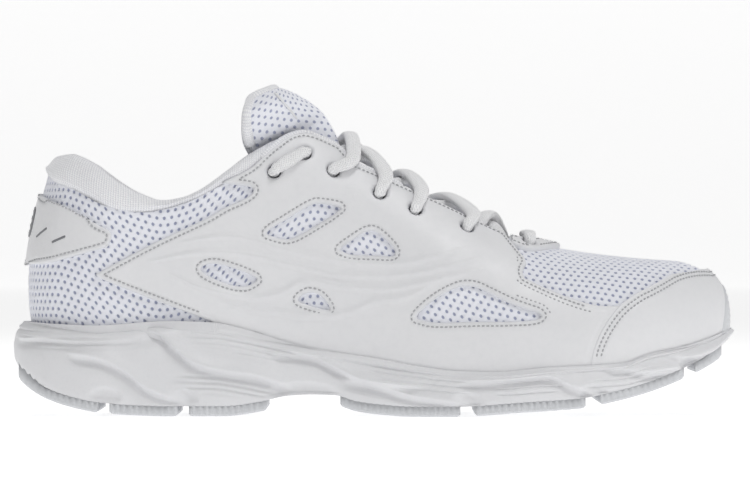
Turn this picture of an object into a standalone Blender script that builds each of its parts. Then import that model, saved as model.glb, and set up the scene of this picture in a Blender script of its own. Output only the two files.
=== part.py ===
"""A right cheer shoe, toe along +X, wearer's right (lateral) side along -Y, resting on Z = 0.

Every piece of the upper is a shell that follows one lasted surface, point_on_upper(u, t).
u runs round the shoe: 0 at the heel's back, 0..1 along the lateral side to the toe tip, and
0..-1 (the same as 2..1) along the medial side. t runs up the section, from 0 at the sole's
rim to 1 at the topline or at the ridge of the instep, and -0.1 is the footbed. Lengths are
in millimetres until the mesh is made.
"""

import math

import bmesh
import bpy
import numpy as np
from mathutils import Vector

MM = 0.001

# Driving dimensions, in millimetres
SOLE_LENGTH = 299.2
SOLE_CENTRE_X = 0.0
FEATHER_LENGTH = 287.2
FEATHER_CENTRE_X = 1.4
PAD_THICKNESS = 3.3
GAP = 0.3
PAD_GAP = 0.85
# How far the mesh and the overlay tuck under the rim, as t on the upper; the back seam's half gap, as u
LASTED_T = -0.075
OVERLAY_T = -0.06
BACK_SEAM = 0.003
MESH_THICKNESS = 2.0
OVERLAY_BASE = 0.75
OVERLAY_THICKNESS = 1.05
TRIM_BASE = 2.3
RIM_BASE = 2.1
LACE_RADIUS = 1.6
EYELET_RADIUS = 3.4
HOLE_SIDES = 6
HINGE_TONGUE = (58.0, 1.5, 66.0)
HINGE_FLAP = (-14.0, -0.5, 108.5)
HINGE_SOCKLINER = (134.0, 6.0, 28.5)

COLOURS = {
    "leather": (0.88, 0.88, 0.87, 0.42, 0.0),
    "mesh": (0.80, 0.83, 0.90, 0.85, 0.0),
    "lining": (0.78, 0.79, 0.81, 0.9, 0.0),
    "foam": (0.90, 0.90, 0.90, 0.55, 0.0),
    "rubber": (0.84, 0.86, 0.88, 0.5, 0.0),
    "cord": (0.92, 0.92, 0.92, 0.8, 0.0),
    "board": (0.80, 0.79, 0.76, 0.9, 0.0),
    "aglet": (0.85, 0.86, 0.88, 0.25, 0.0),
    "badge": (0.35, 0.36, 0.38, 0.4, 0.0),
}


def smooth(points):
    """A smooth curve value(x) through (x, value) points, without overshoot between them."""
    xs, ys = np.array(points, float).T
    steps = np.diff(xs)
    slopes = np.diff(ys) / steps
    tangents = np.zeros(len(xs))
    tangents[0], tangents[-1] = slopes[0], slopes[-1]
    for i in range(1, len(xs) - 1):
        if slopes[i - 1] * slopes[i] > 0:
            a = 2 * steps[i] + steps[i - 1]
            b = steps[i] + 2 * steps[i - 1]
            tangents[i] = (a + b) / (a / slopes[i - 1] + b / slopes[i])

    def value(x):
        x = np.clip(x, xs[0], xs[-1])
        i = np.clip(np.searchsorted(xs, x) - 1, 0, len(steps) - 1)
        s = (x - xs[i]) / steps[i]
        rise = ys[i] + (ys[i + 1] - ys[i]) * s * s * (3 - 2 * s)
        bend = s * (1 - s) * ((1 - s) * tangents[i] - s * tangents[i + 1])
        return rise + bend * steps[i]

    return value


def half_outline(points, length, centre):
    """Half width against v, where x = centre - length / 2 * cos(pi v)."""
    ends = [(math.acos(max(-1, min(1, 2 * (centre - x) / length))) / math.pi, y) for x, y in points]
    return smooth(ends)


FEATHER = {
    1: half_outline(
        [(-142.2, 0), (-138.5, -15), (-129, -26.5), (-108, -33), (-75, -32.5), (-40, -31), (-5, -34.5),
         (30, -42), (60, -46.3), (85, -45), (108, -38), (128, -25), (140, -9.5), (145, 6)],
        FEATHER_LENGTH, FEATHER_CENTRE_X),
    -1: half_outline(
        [(-142.2, 0), (-138.5, 14.5), (-129, 25.5), (-103, 31.5), (-65, 28), (-30, 26), (0, 30.5), (30, 39),
         (60, 45.8), (85, 46.5), (108, 42.5), (128, 34), (140, 20.5), (145, 6)],
        FEATHER_LENGTH, FEATHER_CENTRE_X),
}
SOLE = {
    1: half_outline(
        [(-149.6, 0), (-145, -17), (-133, -31), (-108, -38), (-75, -37), (-40, -35.5), (-5, -40),
         (30, -47.8), (60, -51.5), (85, -49.8), (110, -41.5), (131, -27), (144, -9), (149.6, 7)],
        SOLE_LENGTH, SOLE_CENTRE_X),
    -1: half_outline(
        [(-149.6, 0), (-145, 17), (-133, 30), (-105, 37), (-65, 33.5), (-30, 31.5), (0, 35.5), (30, 44.2),
         (60, 50.8), (85, 51.5), (110, 46.5), (131, 36), (144, 22), (149.6, 7)],
        SOLE_LENGTH, SOLE_CENTRE_X),
}

# Side-view heights against x
rim_height = smooth(
    [(-150, 39.2), (-130, 37.9), (-115, 37.4), (-84, 39.2), (-66, 38.6), (-51, 35.3), (-36, 30.8),
     (-21, 27.3), (0, 24.2), (15, 21.4), (35, 18.9), (50, 18.7), (70, 20.4), (90, 21.4), (102, 22.4),
     (112, 25.8), (129, 29.3), (139, 32.3), (150, 36.8)])
foot_height = smooth(
    [(-150, 30), (-100, 28.8), (-60, 27.5), (-30, 23.6), (0, 18.6), (30, 14.8), (60, 14.4), (90, 15.6),
     (112, 19.8), (130, 24.8), (140, 28.4), (150, 32.0)])
ground_height = smooth(
    [(-150, 18), (-146.5, 14.5), (-140.5, 10), (-134.6, 7), (-125.6, 4), (-112.8, 1.5), (-98, 0.4),
     (-84, 0), (-62, 0), (-46, 2), (-36, 4.2), (-26, 4.8), (-16, 4.5), (-8, 2.2), (0, 1.0), (16, 0),
     (32, 0), (60, 1.8), (85, 3.6), (97, 6), (109, 9), (127, 15.4), (143, 23.6), (150, 30)])
ridge_height = smooth(
    [(-150, 104.0), (-135, 104.0), (-127, 104.5), (-118, 101.5), (-105, 93.5), (-98, 89.8), (-87, 86.8),
     (-80, 88), (-73, 91), (-62, 99), (-50, 109), (-38, 117.0), (-28, 119.5), (-15, 113.5), (0, 105.5),
     (15, 96.8), (31, 88.2), (45, 80.4), (56, 75.2), (66, 71.4), (78, 68.7), (90, 66.8), (103, 65.3),
     (118, 63.9), (150, 62.0)])
# The section's Bezier control points: the shares of the half width and of the height
side_bulge = smooth(
    [(-142.2, 1.13), (-120, 1.05), (-95, 1.0), (-20, 1.03), (40, 1.06), (100, 1.07), (145, 1.07)])
side_rise = smooth([(-142.2, 0.33), (-90, 0.36), (0, 0.5), (60, 0.52), (110, 0.56), (145, 0.64)])
top_pull = smooth(
    [(-142.2, 0.90), (-110, 0.97), (-70, 0.93), (-40, 0.85), (-10, 0.78), (30, 0.70), (70, 0.64),
     (145, 0.78)])
top_rise = smooth([(-142.2, 0.72), (-90, 0.72), (-55, 0.8), (-25, 0.97), (0, 1.0), (145, 1.0)])
top_share = smooth(
    [(-142.2, 0.773), (-128, 0.86), (-100, 0.9), (-75, 0.86), (-58, 0.76), (-42, 0.52), (-25, 0.16),
     (-12, 0.0), (145, 0.0)])
centre_y = smooth(
    [(-142, 0), (-80, 0), (-40, -1.8), (0, -1.5), (30, -0.8), (60, 0.8), (90, 3.0), (118, 5.6)])

HEEL_FAN = -70.0
TOE_FAN = 70.0


def spine_x(x):
    """The section planes fan out round the heel and the toe, and lie square to X between them."""
    heel = np.clip((HEEL_FAN - x) / (HEEL_FAN + 142.2), 0, 1)
    toe = np.clip((x - TOE_FAN) / (145.0 - TOE_FAN), 0, 1)
    middle = np.clip(x, HEEL_FAN, TOE_FAN)
    return middle - 36.0 * (2 * heel - heel * heel) + toe * 75.0 - toe * toe * 27.0


def station(u):
    """Side and position along the shoe of u."""
    u = (np.asarray(u, float) + 1) % 2 - 1
    return np.where(u >= 0, 1, -1), np.abs(u)


def plan_point(u, outlines, length, centre):
    side, v = station(u)
    x = centre - length / 2 * np.cos(math.pi * v)
    return x, np.where(side > 0, outlines[1](v), outlines[-1](v))


def point_on_upper(u, t):
    """The lasted surface, before any piece's own thickness."""
    bx, by = plan_point(u, FEATHER, FEATHER_LENGTH, FEATHER_CENTRE_X)
    t = np.asarray(t, float)
    cx = spine_x(bx)
    cy = centre_y(cx)
    share = top_share(bx)
    top_x = cx + share * (bx - cx)
    rim = rim_height(bx)
    top = ridge_height(np.where(bx > TOE_FAN, cx, top_x))
    rise = top - rim
    s = np.clip(t, 0, 1)
    b0, b1, b2, b3 = (1 - s) ** 3, 3 * s * (1 - s) ** 2, 3 * s * s * (1 - s), s ** 3
    k = b0 + b1 * side_bulge(bx) + b2 * top_pull(bx) + b3 * share
    z = rim + rise * (b1 * side_rise(bx) + b2 * top_rise(bx) + b3)
    z = z + np.clip(t, -1, 0) * 10.0 * (rim - foot_height(bx) - 0.6)
    return np.stack([cx + k * (bx - cx), cy + k * (by - cy), z], -1)


def normal_on_upper(u, t):
    step = 1e-3
    tc = np.clip(t, -0.05, 1 - step)
    along = point_on_upper(np.asarray(u) + step, tc) - point_on_upper(np.asarray(u) - step, tc)
    up = point_on_upper(u, tc + step) - point_on_upper(u, tc - step)
    n = np.cross(along, up)
    return n / np.linalg.norm(n, axis=-1, keepdims=True)


def on_upper(u, t, offset=0.0):
    """A point at the given distance outside the lasted surface."""
    u, t = np.asarray(u, float), np.asarray(t, float)
    p = point_on_upper(u, t)
    n = normal_on_upper(u, t)
    n = np.where(np.abs(t)[..., None] < 1.0, n, normal_on_upper(u, t) * 0.5 + normal_on_upper(-u, t) * 0.5)
    n = n / np.linalg.norm(n, axis=-1, keepdims=True)
    return p + n * np.asarray(offset)[..., None]


def from_side(x, z, side=1):
    """The (u, t) of the upper's point seen at (x, z) from the side."""
    v = math.acos(max(-1, min(1, (FEATHER_CENTRE_X - x) * 2 / FEATHER_LENGTH))) / math.pi
    ts = np.linspace(0, 1, 801)
    t = 0.5
    for _ in range(60):
        column = point_on_upper(np.full_like(ts, side * v), ts)
        height = column[:, 2]
        t = float(np.interp(z, height, ts))
        found = point_on_upper(side * v, max(t, 0))
        v = min(0.999, max(0.001, v + 0.004 * (x - float(found[0]))))
    return side * v, t


def side_outline(points, side=1):
    return [from_side(x, z, side) for x, z in points]


def from_top(x, half_gap, side=1):
    """The (u, t) of the upper's point at x, half_gap beside the spine, where the sections are square."""
    v = math.acos(max(-1, min(1, (FEATHER_CENTRE_X - x) * 2 / FEATHER_LENGTH))) / math.pi
    ts = np.linspace(0.4, 1, 601)
    column = point_on_upper(np.full_like(ts, side * v), ts)
    width = np.abs(column[:, 1] - float(centre_y(spine_x(x))))
    return side * v, float(np.interp(-half_gap, -width, ts))


def at_x(x):
    """v where the feather line passes x."""
    return math.acos(max(-1, min(1, (FEATHER_CENTRE_X - x) * 2 / FEATHER_LENGTH))) / math.pi


# Making the meshes
U_CELLS = 30
T_CELLS = 6
parts_collection = None
materials = {}


def new_collection(name):
    collection = bpy.data.collections.new(name)
    bpy.context.scene.collection.children.link(collection)
    return collection


def material(slot):
    if slot not in materials:
        red, green, blue, roughness, metallic = COLOURS[slot]
        made = bpy.data.materials.new(slot)
        made.use_nodes = True
        shader = made.node_tree.nodes["Principled BSDF"]
        shader.inputs["Base Color"].default_value = (red, green, blue, 1)
        shader.inputs["Roughness"].default_value = roughness
        shader.inputs["Metallic"].default_value = metallic
        materials[slot] = made
    return materials[slot]


def add_part(name, bm, slot, origin=(0, 0, 0)):
    """Turn a bmesh in millimetres into the named object, its origin at the given point."""
    bmesh.ops.translate(bm, verts=bm.verts, vec=[-c for c in origin])
    bmesh.ops.scale(bm, verts=bm.verts, vec=(MM, MM, MM))
    mesh = bpy.data.meshes.new(name)
    bm.to_mesh(mesh)
    bm.free()
    mesh.shade_smooth()
    mesh.set_sharp_from_angle(angle=math.radians(40))
    obj = bpy.data.objects.new(name, mesh)
    obj.location = [c * MM for c in origin]
    obj.data.materials.append(material(slot))
    parts_collection.objects.link(obj)
    return obj


def loft(rows, closed_rows=False, closed_points=False):
    """A bmesh through equal rows of points, its doubled points welded and its normals outward."""
    bm = bmesh.new()
    grid = [[bm.verts.new([float(c) for c in p]) for p in row] for row in rows]
    last_row = len(grid) if closed_rows else len(grid) - 1
    count = len(grid[0])
    last_point = count if closed_points else count - 1
    for i in range(last_row):
        a = grid[i]
        b = grid[(i + 1) % len(grid)]
        for j in range(last_point):
            k = (j + 1) % count
            bm.faces.new((a[j], a[k], b[k], b[j]))
    if closed_points and not closed_rows:
        bm.faces.new(grid[0])
        bm.faces.new(grid[-1][::-1])
    bmesh.ops.remove_doubles(bm, verts=bm.verts, dist=0.02)
    bmesh.ops.recalc_face_normals(bm, faces=bm.faces)
    return bm


def shell(name, outline, slot, base, thickness, holes=(), origin=(0, 0, 0)):
    """A shell on the upper inside a (u, t) outline, base to base + thickness outside the last."""
    bm = bmesh.new()
    hole_verts = set()
    for loop in [outline, *holes]:
        ring = [bm.verts.new((u * 100, t * 10, 0)) for u, t in loop]
        for a, b in zip(ring, ring[1:] + ring[:1]):
            bm.edges.new((a, b))
        if loop is not outline:
            hole_verts.update((round(v.co.x, 3), round(v.co.y, 3)) for v in ring)
    bmesh.ops.triangle_fill(bm, use_beauty=True, use_dissolve=False, edges=bm.edges[:])
    us = [u for u, t in outline]
    ts = [t for u, t in outline]
    first = math.ceil(min(us) * U_CELLS)
    last = math.floor(max(us) * U_CELLS)
    u_lines = [i / U_CELLS * 100 for i in range(first, last + 1)]
    t_lines = [j / T_CELLS * 10 for j in range(T_CELLS) if min(ts) < j / T_CELLS < max(ts)]
    for x in u_lines:
        cut(bm, (x, 0, 0), (1, 0, 0))
    for y in t_lines:
        cut(bm, (0, y, 0), (0, 1, 0))
    loose = []
    for e in bm.edges:
        if len(e.link_faces) != 2:
            continue
        a = e.verts[0].co
        b = e.verts[1].co
        on_u = abs(a.x - b.x) < 1e-3 and any(abs(a.x - x) < 1e-3 for x in u_lines)
        on_t = abs(a.y - b.y) < 1e-3 and any(abs(a.y - y) < 1e-3 for y in t_lines)
        at_hole = any((round(v.co.x, 3), round(v.co.y, 3)) in hole_verts for v in e.verts)
        if not (on_u or on_t or at_hole):
            loose.append(e)
    bmesh.ops.dissolve_edges(bm, edges=loose, use_verts=False, use_face_split=False)
    flat = np.array([v.co[:2] for v in bm.verts])
    outer = on_upper(flat[:, 0] / 100, flat[:, 1] / 10, np.full(len(flat), base + thickness))
    for vert, p in zip(bm.verts, outer):
        vert.co = p
    bmesh.ops.remove_doubles(bm, verts=bm.verts, dist=0.02)
    bmesh.ops.recalc_face_normals(bm, faces=bm.faces)
    probe = bm.faces[:][len(bm.faces) // 2]
    outward = probe.calc_center_median() - Vector(point_inside(probe.calc_center_median()))
    if probe.normal.dot(outward) < 0:
        bmesh.ops.reverse_faces(bm, faces=bm.faces)
    obj = add_part(name, bm, slot, origin)
    thicken = obj.modifiers.new("Thickness", "SOLIDIFY")
    thicken.thickness = thickness * MM
    thicken.offset = -1
    thicken.use_quality_normals = True
    return obj


def cut(bm, point, direction):
    geometry = bm.verts[:] + bm.edges[:] + bm.faces[:]
    bmesh.ops.bisect_plane(bm, geom=geometry, dist=1e-5, plane_co=point, plane_no=direction)


def point_inside(p):
    """A point on the shoe's middle line, below and inside p."""
    x = min(100.0, max(-95.0, p[0]))
    return (x, float(centre_y(x)), 40.0)


def hole(x, z, side=1):
    """A round eyelet hole in the (u, t) plane, round on the surface itself."""
    return hole_at(*from_side(x, z, side))


def hole_at(u, t):
    step = 1e-3
    along = np.linalg.norm(point_on_upper(u + step, t) - point_on_upper(u - step, t)) / (2 * step)
    up = np.linalg.norm(point_on_upper(u, t + step) - point_on_upper(u, t - step)) / (2 * step)
    turns = [2 * math.pi * i / HOLE_SIDES for i in range(HOLE_SIDES)]
    return [(u + EYELET_RADIUS * math.cos(a) / along, t + EYELET_RADIUS * math.sin(a) / up) for a in turns]


# Side-view outlines shared by the pieces
COLLAR_SEAM = [(-135.8, 99.9), (-124.7, 94.5), (-109.7, 87), (-94.7, 84.5), (-78.2, 88.1), (-62.9, 95.6),
               (-51.3, 101.4), (-42.8, 108.8), (-35.4, 114.1), (-29.5, 115.7)]
THROAT_EDGE_SIDE = [(-29.5, 115.7), (-23.2, 113.8), (-15.2, 109.8)]
THROAT_GAP = 15.5
THROAT_ROUND_X = 50.0
THROAT_BASE_X = 66.0
EYELETS = [(-41.2, 100.1), (-28.8, 107.5), (-17.1, 100.3), (2.0, 91.0), (16.7, 84.2), (37.6, 76.6)]
BASE_EYELET = (63.2, 15.2)
WINDOWS = [
    [(-44, 75.4), (-26.1, 86.4), (-22.1, 87), (-14.2, 85.4), (-23.4, 78.4), (-31.4, 73.8), (-36, 72.5)],
    [(-13.9, 68.5), (-6.3, 73.8), (-2.3, 75.7), (1, 75.1), (8.3, 67.8), (7.6, 65.5), (-9.5, 66.2)],
    [(-71.1, 60.5), (-63.8, 62.2), (-55.9, 59.9), (-48.6, 56.6), (-53.2, 53.2), (-59.2, 53.9)],
    [(-31.1, 47.3), (-26.1, 50.6), (-22.1, 49.3), (-18.2, 44), (-26.1, 45.3)],
    [(17.3, 40.8), (21.5, 45.3), (34.2, 52.7), (42.2, 52.5), (57.5, 45.3), (67, 41.9), (62.8, 39),
     (25.7, 38.4)],
]
OVERLAY_REAR = [(-66.8, 38.8), (-84, 45.2), (-98.2, 50.6), (-111.1, 55.9), (-113.3, 58.1), (-91.1, 70.6),
                (-69.7, 80.6), (-53.9, 88.7), (-49.7, 92.4), (-56.5, 94.2)]
OVERLAY_FRONT = [(53.8, 72.8), (60.1, 65.4), (62.3, 62.8), (60.4, 59.1), (61, 56.4), (63.3, 54.9),
                 (77, 49), (89.6, 45.2), (98.2, 44.4)]
TOE_CAP_EDGE = [(87.2, 22.2), (88.4, 26.9), (90.8, 33), (94.5, 39.1), (99.4, 44.6), (106.7, 49.5),
                (112.8, 52.5), (121.3, 56.8)]


def throat_gap(x):
    """Half the width of the throat's opening at x."""
    past = max(0.0, (x - THROAT_ROUND_X) / (THROAT_BASE_X - THROAT_ROUND_X))
    return THROAT_GAP * math.sqrt(max(0.0, 1 - past * past))


def throat_edge(side, extra, first_x, last_x, count):
    """The edge of the throat from first_x to last_x, extra millimetres back from the opening."""
    points = []
    for i in range(count):
        x = first_x + (last_x - first_x) * i / (count - 1)
        points.append(from_top(x, throat_gap(x) + extra, side))
    return points


def mirrored(outline):
    return [(-u, t) for u, t in outline]


def shifted_medial(outline):
    """The same outline on the medial side, counted on past the toe."""
    return [(2 - u, t) for u, t in outline]


def make_upper():
    split = at_x(12.0)
    lateral_back = throat_edge(1, 1.2, 12.0, 64.0, 9)
    medial_back = [(2 + u, t) for u, t in throat_edge(-1, 1.2, 12.0, 64.0, 9)]
    base = at_x(THROAT_BASE_X + 1.2)
    vamp = [(split, LASTED_T), (2 - split, LASTED_T)]
    vamp += medial_back
    ridge = [i / U_CELLS for i in range(math.ceil(base * U_CELLS), 2 * U_CELLS)]
    ridge = [u for u in ridge if u < 2 - base]
    vamp += [(2 - base, 1.0), *[(u, 1.0) for u in reversed(ridge)], (base, 1.0)]
    vamp += lateral_back[::-1]
    medial_u, medial_t = from_top(*BASE_EYELET, -1)
    holes = [hole_at(*from_top(*BASE_EYELET, 1)), hole_at(2 + medial_u, medial_t)]
    for eyelet in (EYELETS[5], EYELETS[4]):
        holes += [hole(*eyelet, 1), moved(hole(*eyelet, -1), 2)]
    shell("vamp_mesh", vamp, "mesh", -MESH_THICKNESS, MESH_THICKNESS, holes=holes)
    for side, name in ((1, "lateral"), (-1, "medial")):
        make_quarter(side, name)
        make_overlay(side, name)
        make_backing(side, name)
    make_toe_cap()
    make_throat_overlay()
    make_heel_pieces()


def moved(outline, by):
    return [(u + by, t) for u, t in outline]


def make_quarter(side, name):
    """Mesh quarter, from the heel's back seam to just behind the vamp."""
    front = at_x(12.0) - 0.0012
    seam = side_outline(COLLAR_SEAM[1:])
    heel_t = seam[0][1]
    outline = [(BACK_SEAM, LASTED_T), (front, LASTED_T)]
    outline += [from_top(11.5, THROAT_GAP + 1.2), *throat_edge(1, 1.2, 6.0, -8.0, 3)]
    outline += side_outline([(-15.2, 108.6), (-23.2, 112.4), (-29.5, 114.2)])
    outline += [(u, t - 0.012) for u, t in reversed(seam[:-1])]
    outline += [(BACK_SEAM, heel_t - 0.012)]
    outline = [(side * u, t) for u, t in outline]
    shell(f"{name}_quarter_mesh", outline, "mesh", -MESH_THICKNESS, MESH_THICKNESS,
          holes=[hole(x, z, side) for x, z in EYELETS[:4]])


def make_overlay(side, name):
    """The leather overlay: one piece from rear tip to toe cap, with five windows and the eyelets."""
    outline = side_outline(OVERLAY_REAR)
    outline += [(u, t - 0.01) for u, t in side_outline(COLLAR_SEAM[5:])]
    outline += side_outline(THROAT_EDGE_SIDE[1:])
    outline += throat_edge(1, 0.4, -8.0, 52.0, 8)
    outline += side_outline(OVERLAY_FRONT)
    edge = side_outline([(x - 1.0, z) for x, z in TOE_CAP_EDGE[:4]])
    outline += edge[::-1]
    low = at_x(86.0)
    rear = outline[0][0]
    outline += [(low, OVERLAY_T), (rear, OVERLAY_T)]
    holes = [side_outline(w) for w in WINDOWS]
    holes += [hole(x, z, 1) for x, z in EYELETS]
    if side < 0:
        outline = mirrored(outline)
        holes = [mirrored(h) for h in holes]
    shell(f"{name}_overlay", outline, "leather", OVERLAY_BASE, OVERLAY_THICKNESS, holes=holes)


def make_backing(side, name):
    """The eyelet reinforcement behind the mesh."""
    front = throat_edge(1, 0.8, 50.0, -8.0, 7)
    top = side_outline([(-15.2, 108.9), (-23.2, 112.8), (-33, 113)])
    low = side_outline([(-47, 99.5), (-42, 94.5), (-28.8, 99.6), (-17.1, 92), (2, 82.5), (16.7, 76),
                        (37.6, 69.5), (48, 67)])
    outline = front + top + low
    holes = [hole(x, z, side) for x, z in EYELETS]
    shell(f"{name}_eyelet_backing", [(side * u, t) for u, t in outline], "board", -3.8, 0.8, holes=holes)


def make_toe_cap():
    lateral = [(at_x(87.4), OVERLAY_T), *side_outline(TOE_CAP_EDGE)]
    tip = [(1.0 - 0.045, 0.6), (1.0, 0.6), (1.0 + 0.045, 0.6)]
    medial = [(2 - u, t) for u, t in reversed(lateral)]
    shell("toe_cap", lateral + tip + medial, "leather", OVERLAY_BASE, OVERLAY_THICKNESS)
    puff = [(at_x(112.0), 0.02), *side_outline([(116, 46), (126, 54)]), (1.0, 0.55)]
    puff += [(2 - u, t) for u, t in reversed(puff[:-1])]
    shell("toe_puff", puff, "board", -3.4, 0.9)
    bumper = [(0.93, 0.08), (0.955, 0.22), (0.98, 0.36), (1.0, 0.4), (1.02, 0.36), (1.045, 0.22),
              (1.07, 0.08)]
    shell("toe_bumper", bumper, "rubber", TRIM_BASE, 1.3)


def make_throat_overlay():
    """The rounded U that ends the throat, lying on the vamp just ahead of the eyelet overlays."""
    inner = [from_top(x, throat_gap(x) + 0.4, 1) for x in (58.5, 61.5, 64, 65.4)]
    base = at_x(THROAT_BASE_X + 0.4)
    front = at_x(77.4)
    outer = [from_top(x, y, 1) for x, y in ((76.2, 7), (72.5, 13), (68, 18), (64, 20.6), (59.5, 20.6))]
    ridge = [i / U_CELLS for i in range(U_CELLS) if base < i / U_CELLS < front]
    lateral = [*inner, (base, 1.0), *[(u, 1.0) for u in ridge], (front, 1.0), *outer]
    shell_across_ridge("throat_overlay", lateral, "leather", OVERLAY_BASE, OVERLAY_THICKNESS,
                       hole_at(*from_top(*BASE_EYELET, 1)))


def shell_across_ridge(name, lateral, slot, base, thickness, opening):
    """A symmetric shell whose two halves meet along the ridge, t = 1."""
    half = shell(name + "_half", lateral, slot, base, thickness, holes=[opening])
    other = shell(name, shifted_medial(lateral), slot, base, thickness, holes=[shifted_medial(opening)])
    bm = bmesh.new()
    bm.from_mesh(half.data)
    bm.from_mesh(other.data)
    bmesh.ops.remove_doubles(bm, verts=bm.verts, dist=0.02 * MM)
    bmesh.ops.recalc_face_normals(bm, faces=bm.faces)
    if sum(f.normal.z * f.calc_area() for f in bm.faces) < 0:
        bmesh.ops.reverse_faces(bm, faces=bm.faces)
    bm.to_mesh(other.data)
    bm.free()
    bpy.data.objects.remove(half)


def make_heel_pieces():
    upper = side_outline([(-132, 88.5), (-112.5, 78), (-108.5, 75.9), (-107.7, 73.9), (-108.9, 69.7),
                          (-131.8, 63.1)])
    high = upper[0][1]
    low = upper[-1][1]
    lateral = [(0.0, high + 0.02), (0.035, high + 0.015), *upper, (0.035, low + 0.01), (0.0, low - 0.02)]
    outline = lateral + [(-u, t) for u, t in reversed(lateral[1:-1])]
    shell("heel_overlay", outline, "leather", OVERLAY_BASE, OVERLAY_THICKNESS)
    badge = [(0.028, 0.5), (0.028, 0.66), (0.018, 0.72), (-0.018, 0.72), (-0.028, 0.66), (-0.028, 0.5),
             (-0.018, 0.44), (0.018, 0.44)]
    shell("heel_badge", badge, "badge", TRIM_BASE, 1.0)
    reach = at_x(-78.0)
    side = [(reach, 0.02), (reach, 0.12), (at_x(-100), 0.34), (at_x(-122), 0.54), (at_x(-136), 0.58)]
    counter = side + [(-u, t) for u, t in reversed(side)]
    shell("heel_counter", counter, "board", -4.1, 1.6)


# Collar, lining and footbed
collar_pad = smooth([(-142.2, 11.0), (-120, 9.5), (-95, 8.0), (-70, 7.0), (-50, 5.0), (-38, 3.6)])
collar_foot = smooth([(-142.2, 0.2), (-75, 0.22), (-62, 0.45), (-52, 0.86), (-38, 0.93)])
collar_roll = smooth([(-142.2, 5.0), (-120, 4.2), (-95, 3.2), (-70, 2.2), (-50, 1.6), (-38, 1.0)])


def make_collar(side, name):
    """The padded collar: its roll stands above the shell's seam and its lining runs down inside."""
    rows = []
    seam = side_outline(COLLAR_SEAM[1:], 1)
    seam_t = smooth([(0.0, seam[0][1]), *seam])
    first = BACK_SEAM
    last = at_x(-42.0)
    count = 18
    for i in range(count + 1):
        v = first + (last - first) * i / count
        x, _ = plan_point(v, FEATHER, FEATHER_LENGTH, FEATHER_CENTRE_X)
        x = float(x)
        low = float(seam_t(v)) + 0.004
        pad = float(collar_pad(x))
        roll = float(collar_roll(x))
        bottom = float(collar_foot(x)) * low
        depth = low - bottom
        u = side * v
        lift = np.array([0, 0, roll])
        ring = [
            on_upper(u, low, 0.0),
            on_upper(u, (low + 1) / 2, 0.0),
            on_upper(u, 0.985, -0.2),
            on_upper(u, 0.99, -pad * 0.22) + lift * 0.75,
            on_upper(u, 0.99, -pad * 0.5) + lift,
            on_upper(u, 0.985, -pad * 0.82) + lift * 0.62,
            on_upper(u, 0.96, -pad),
            on_upper(u, (low + 1) / 2 - 0.03, -pad - 1.0),
            on_upper(u, low - 0.15 * depth, -pad - 0.6),
            on_upper(u, low - 0.55 * depth, -max(6.2, pad * 0.7)),
            on_upper(u, bottom, -5.8),
            on_upper(u, bottom, -4.6),
            on_upper(u, low - 0.55 * depth, -4.6),
            on_upper(u, low - 0.16 * depth, -4.6),
            on_upper(u, low - 0.10 * depth, -2.6),
            on_upper(u, low, -2.4),
        ]
        rows.append(ring)
    add_part(f"collar_{name}", loft(rows, closed_points=True), "lining")


def footbed_ring(u, offset):
    edge = on_upper(u, -0.05, offset)
    x, _ = plan_point(u, FEATHER, FEATHER_LENGTH, FEATHER_CENTRE_X)
    cx = float(spine_x(float(x)))
    return (cx, float(centre_y(cx))), (float(edge[0]), float(edge[1]))


def make_board(name, slot, inset, low, high, origin=(0, 0, 0)):
    """A flat layer over the footbed, its edge inset from the lasted surface, between two heights."""
    rows = []
    cells = 60
    for i in range(cells):
        u = 2 * i / cells
        (cx, cy), (ex, ey) = footbed_ring(u, -inset)
        row = []
        for k, height in ((0, low), (0.55, low), (1, low), (1, high), (0.55, high), (0, high)):
            x = cx + k * (ex - cx)
            row.append((x, cy + k * (ey - cy), float(foot_height(x)) + height))
        rows.append(row)
    return add_part(name, loft(rows, closed_rows=True), slot, origin)


def make_midsole():
    rows = []
    cells = 78
    for i in range(cells):
        u = 2 * i / cells
        ox, oy = (float(c) for c in plan_point(u, SOLE, SOLE_LENGTH, SOLE_CENTRE_X))
        fx, _ = plan_point(u, FEATHER, FEATHER_LENGTH, FEATHER_CENTRE_X)
        cx = float(spine_x(float(fx)))
        centre = np.array([cx, float(centre_y(cx))])
        rim_edge = np.array([ox, oy])
        reach = np.linalg.norm(rim_edge - centre)

        def at(inset, k=1.0):
            return centre + (rim_edge - centre) * k * (1 - inset / reach)

        def bottom(xy, extra=0.0):
            return (xy[0], xy[1], float(ground_height(xy[0])) + PAD_THICKNESS + PAD_GAP + extra)

        rim = float(rim_height(ox))
        base = float(ground_height(ox)) + PAD_THICKNESS + PAD_GAP
        body = rim - base
        lip_out = on_upper(u, -0.02, RIM_BASE + 1.3)
        lip_in = on_upper(u, -0.02, RIM_BASE)
        wall_low = on_upper(u, -0.1, RIM_BASE)
        floor = on_upper(u, -0.1, 1.4)
        spine = tuple(centre)
        row = [bottom(spine), bottom(at(0, 0.55)), bottom(at(4.0)), bottom(at(1.6), min(3.0, body * 0.2))]
        row.append((*at(0.0), base + body * 0.42))
        row.append((*at(0.9), base + body * 0.74))
        row.append((lip_out[0], lip_out[1], float(rim_height(lip_out[0])) - 0.3))
        row.append((lip_in[0], lip_in[1], float(rim_height(lip_in[0])) - 0.3))
        row.append((wall_low[0], wall_low[1], float(foot_height(wall_low[0])) + 1.0))
        row.append((floor[0], floor[1], float(foot_height(floor[0]))))
        inner = centre + 0.55 * (np.array(floor[:2]) - centre)
        row.append((*inner, float(foot_height(inner[0]))))
        row.append((*spine, float(foot_height(spine[0]))))
        rows.append(row)
    add_part("midsole", loft(rows, closed_rows=True), "foam")


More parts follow.
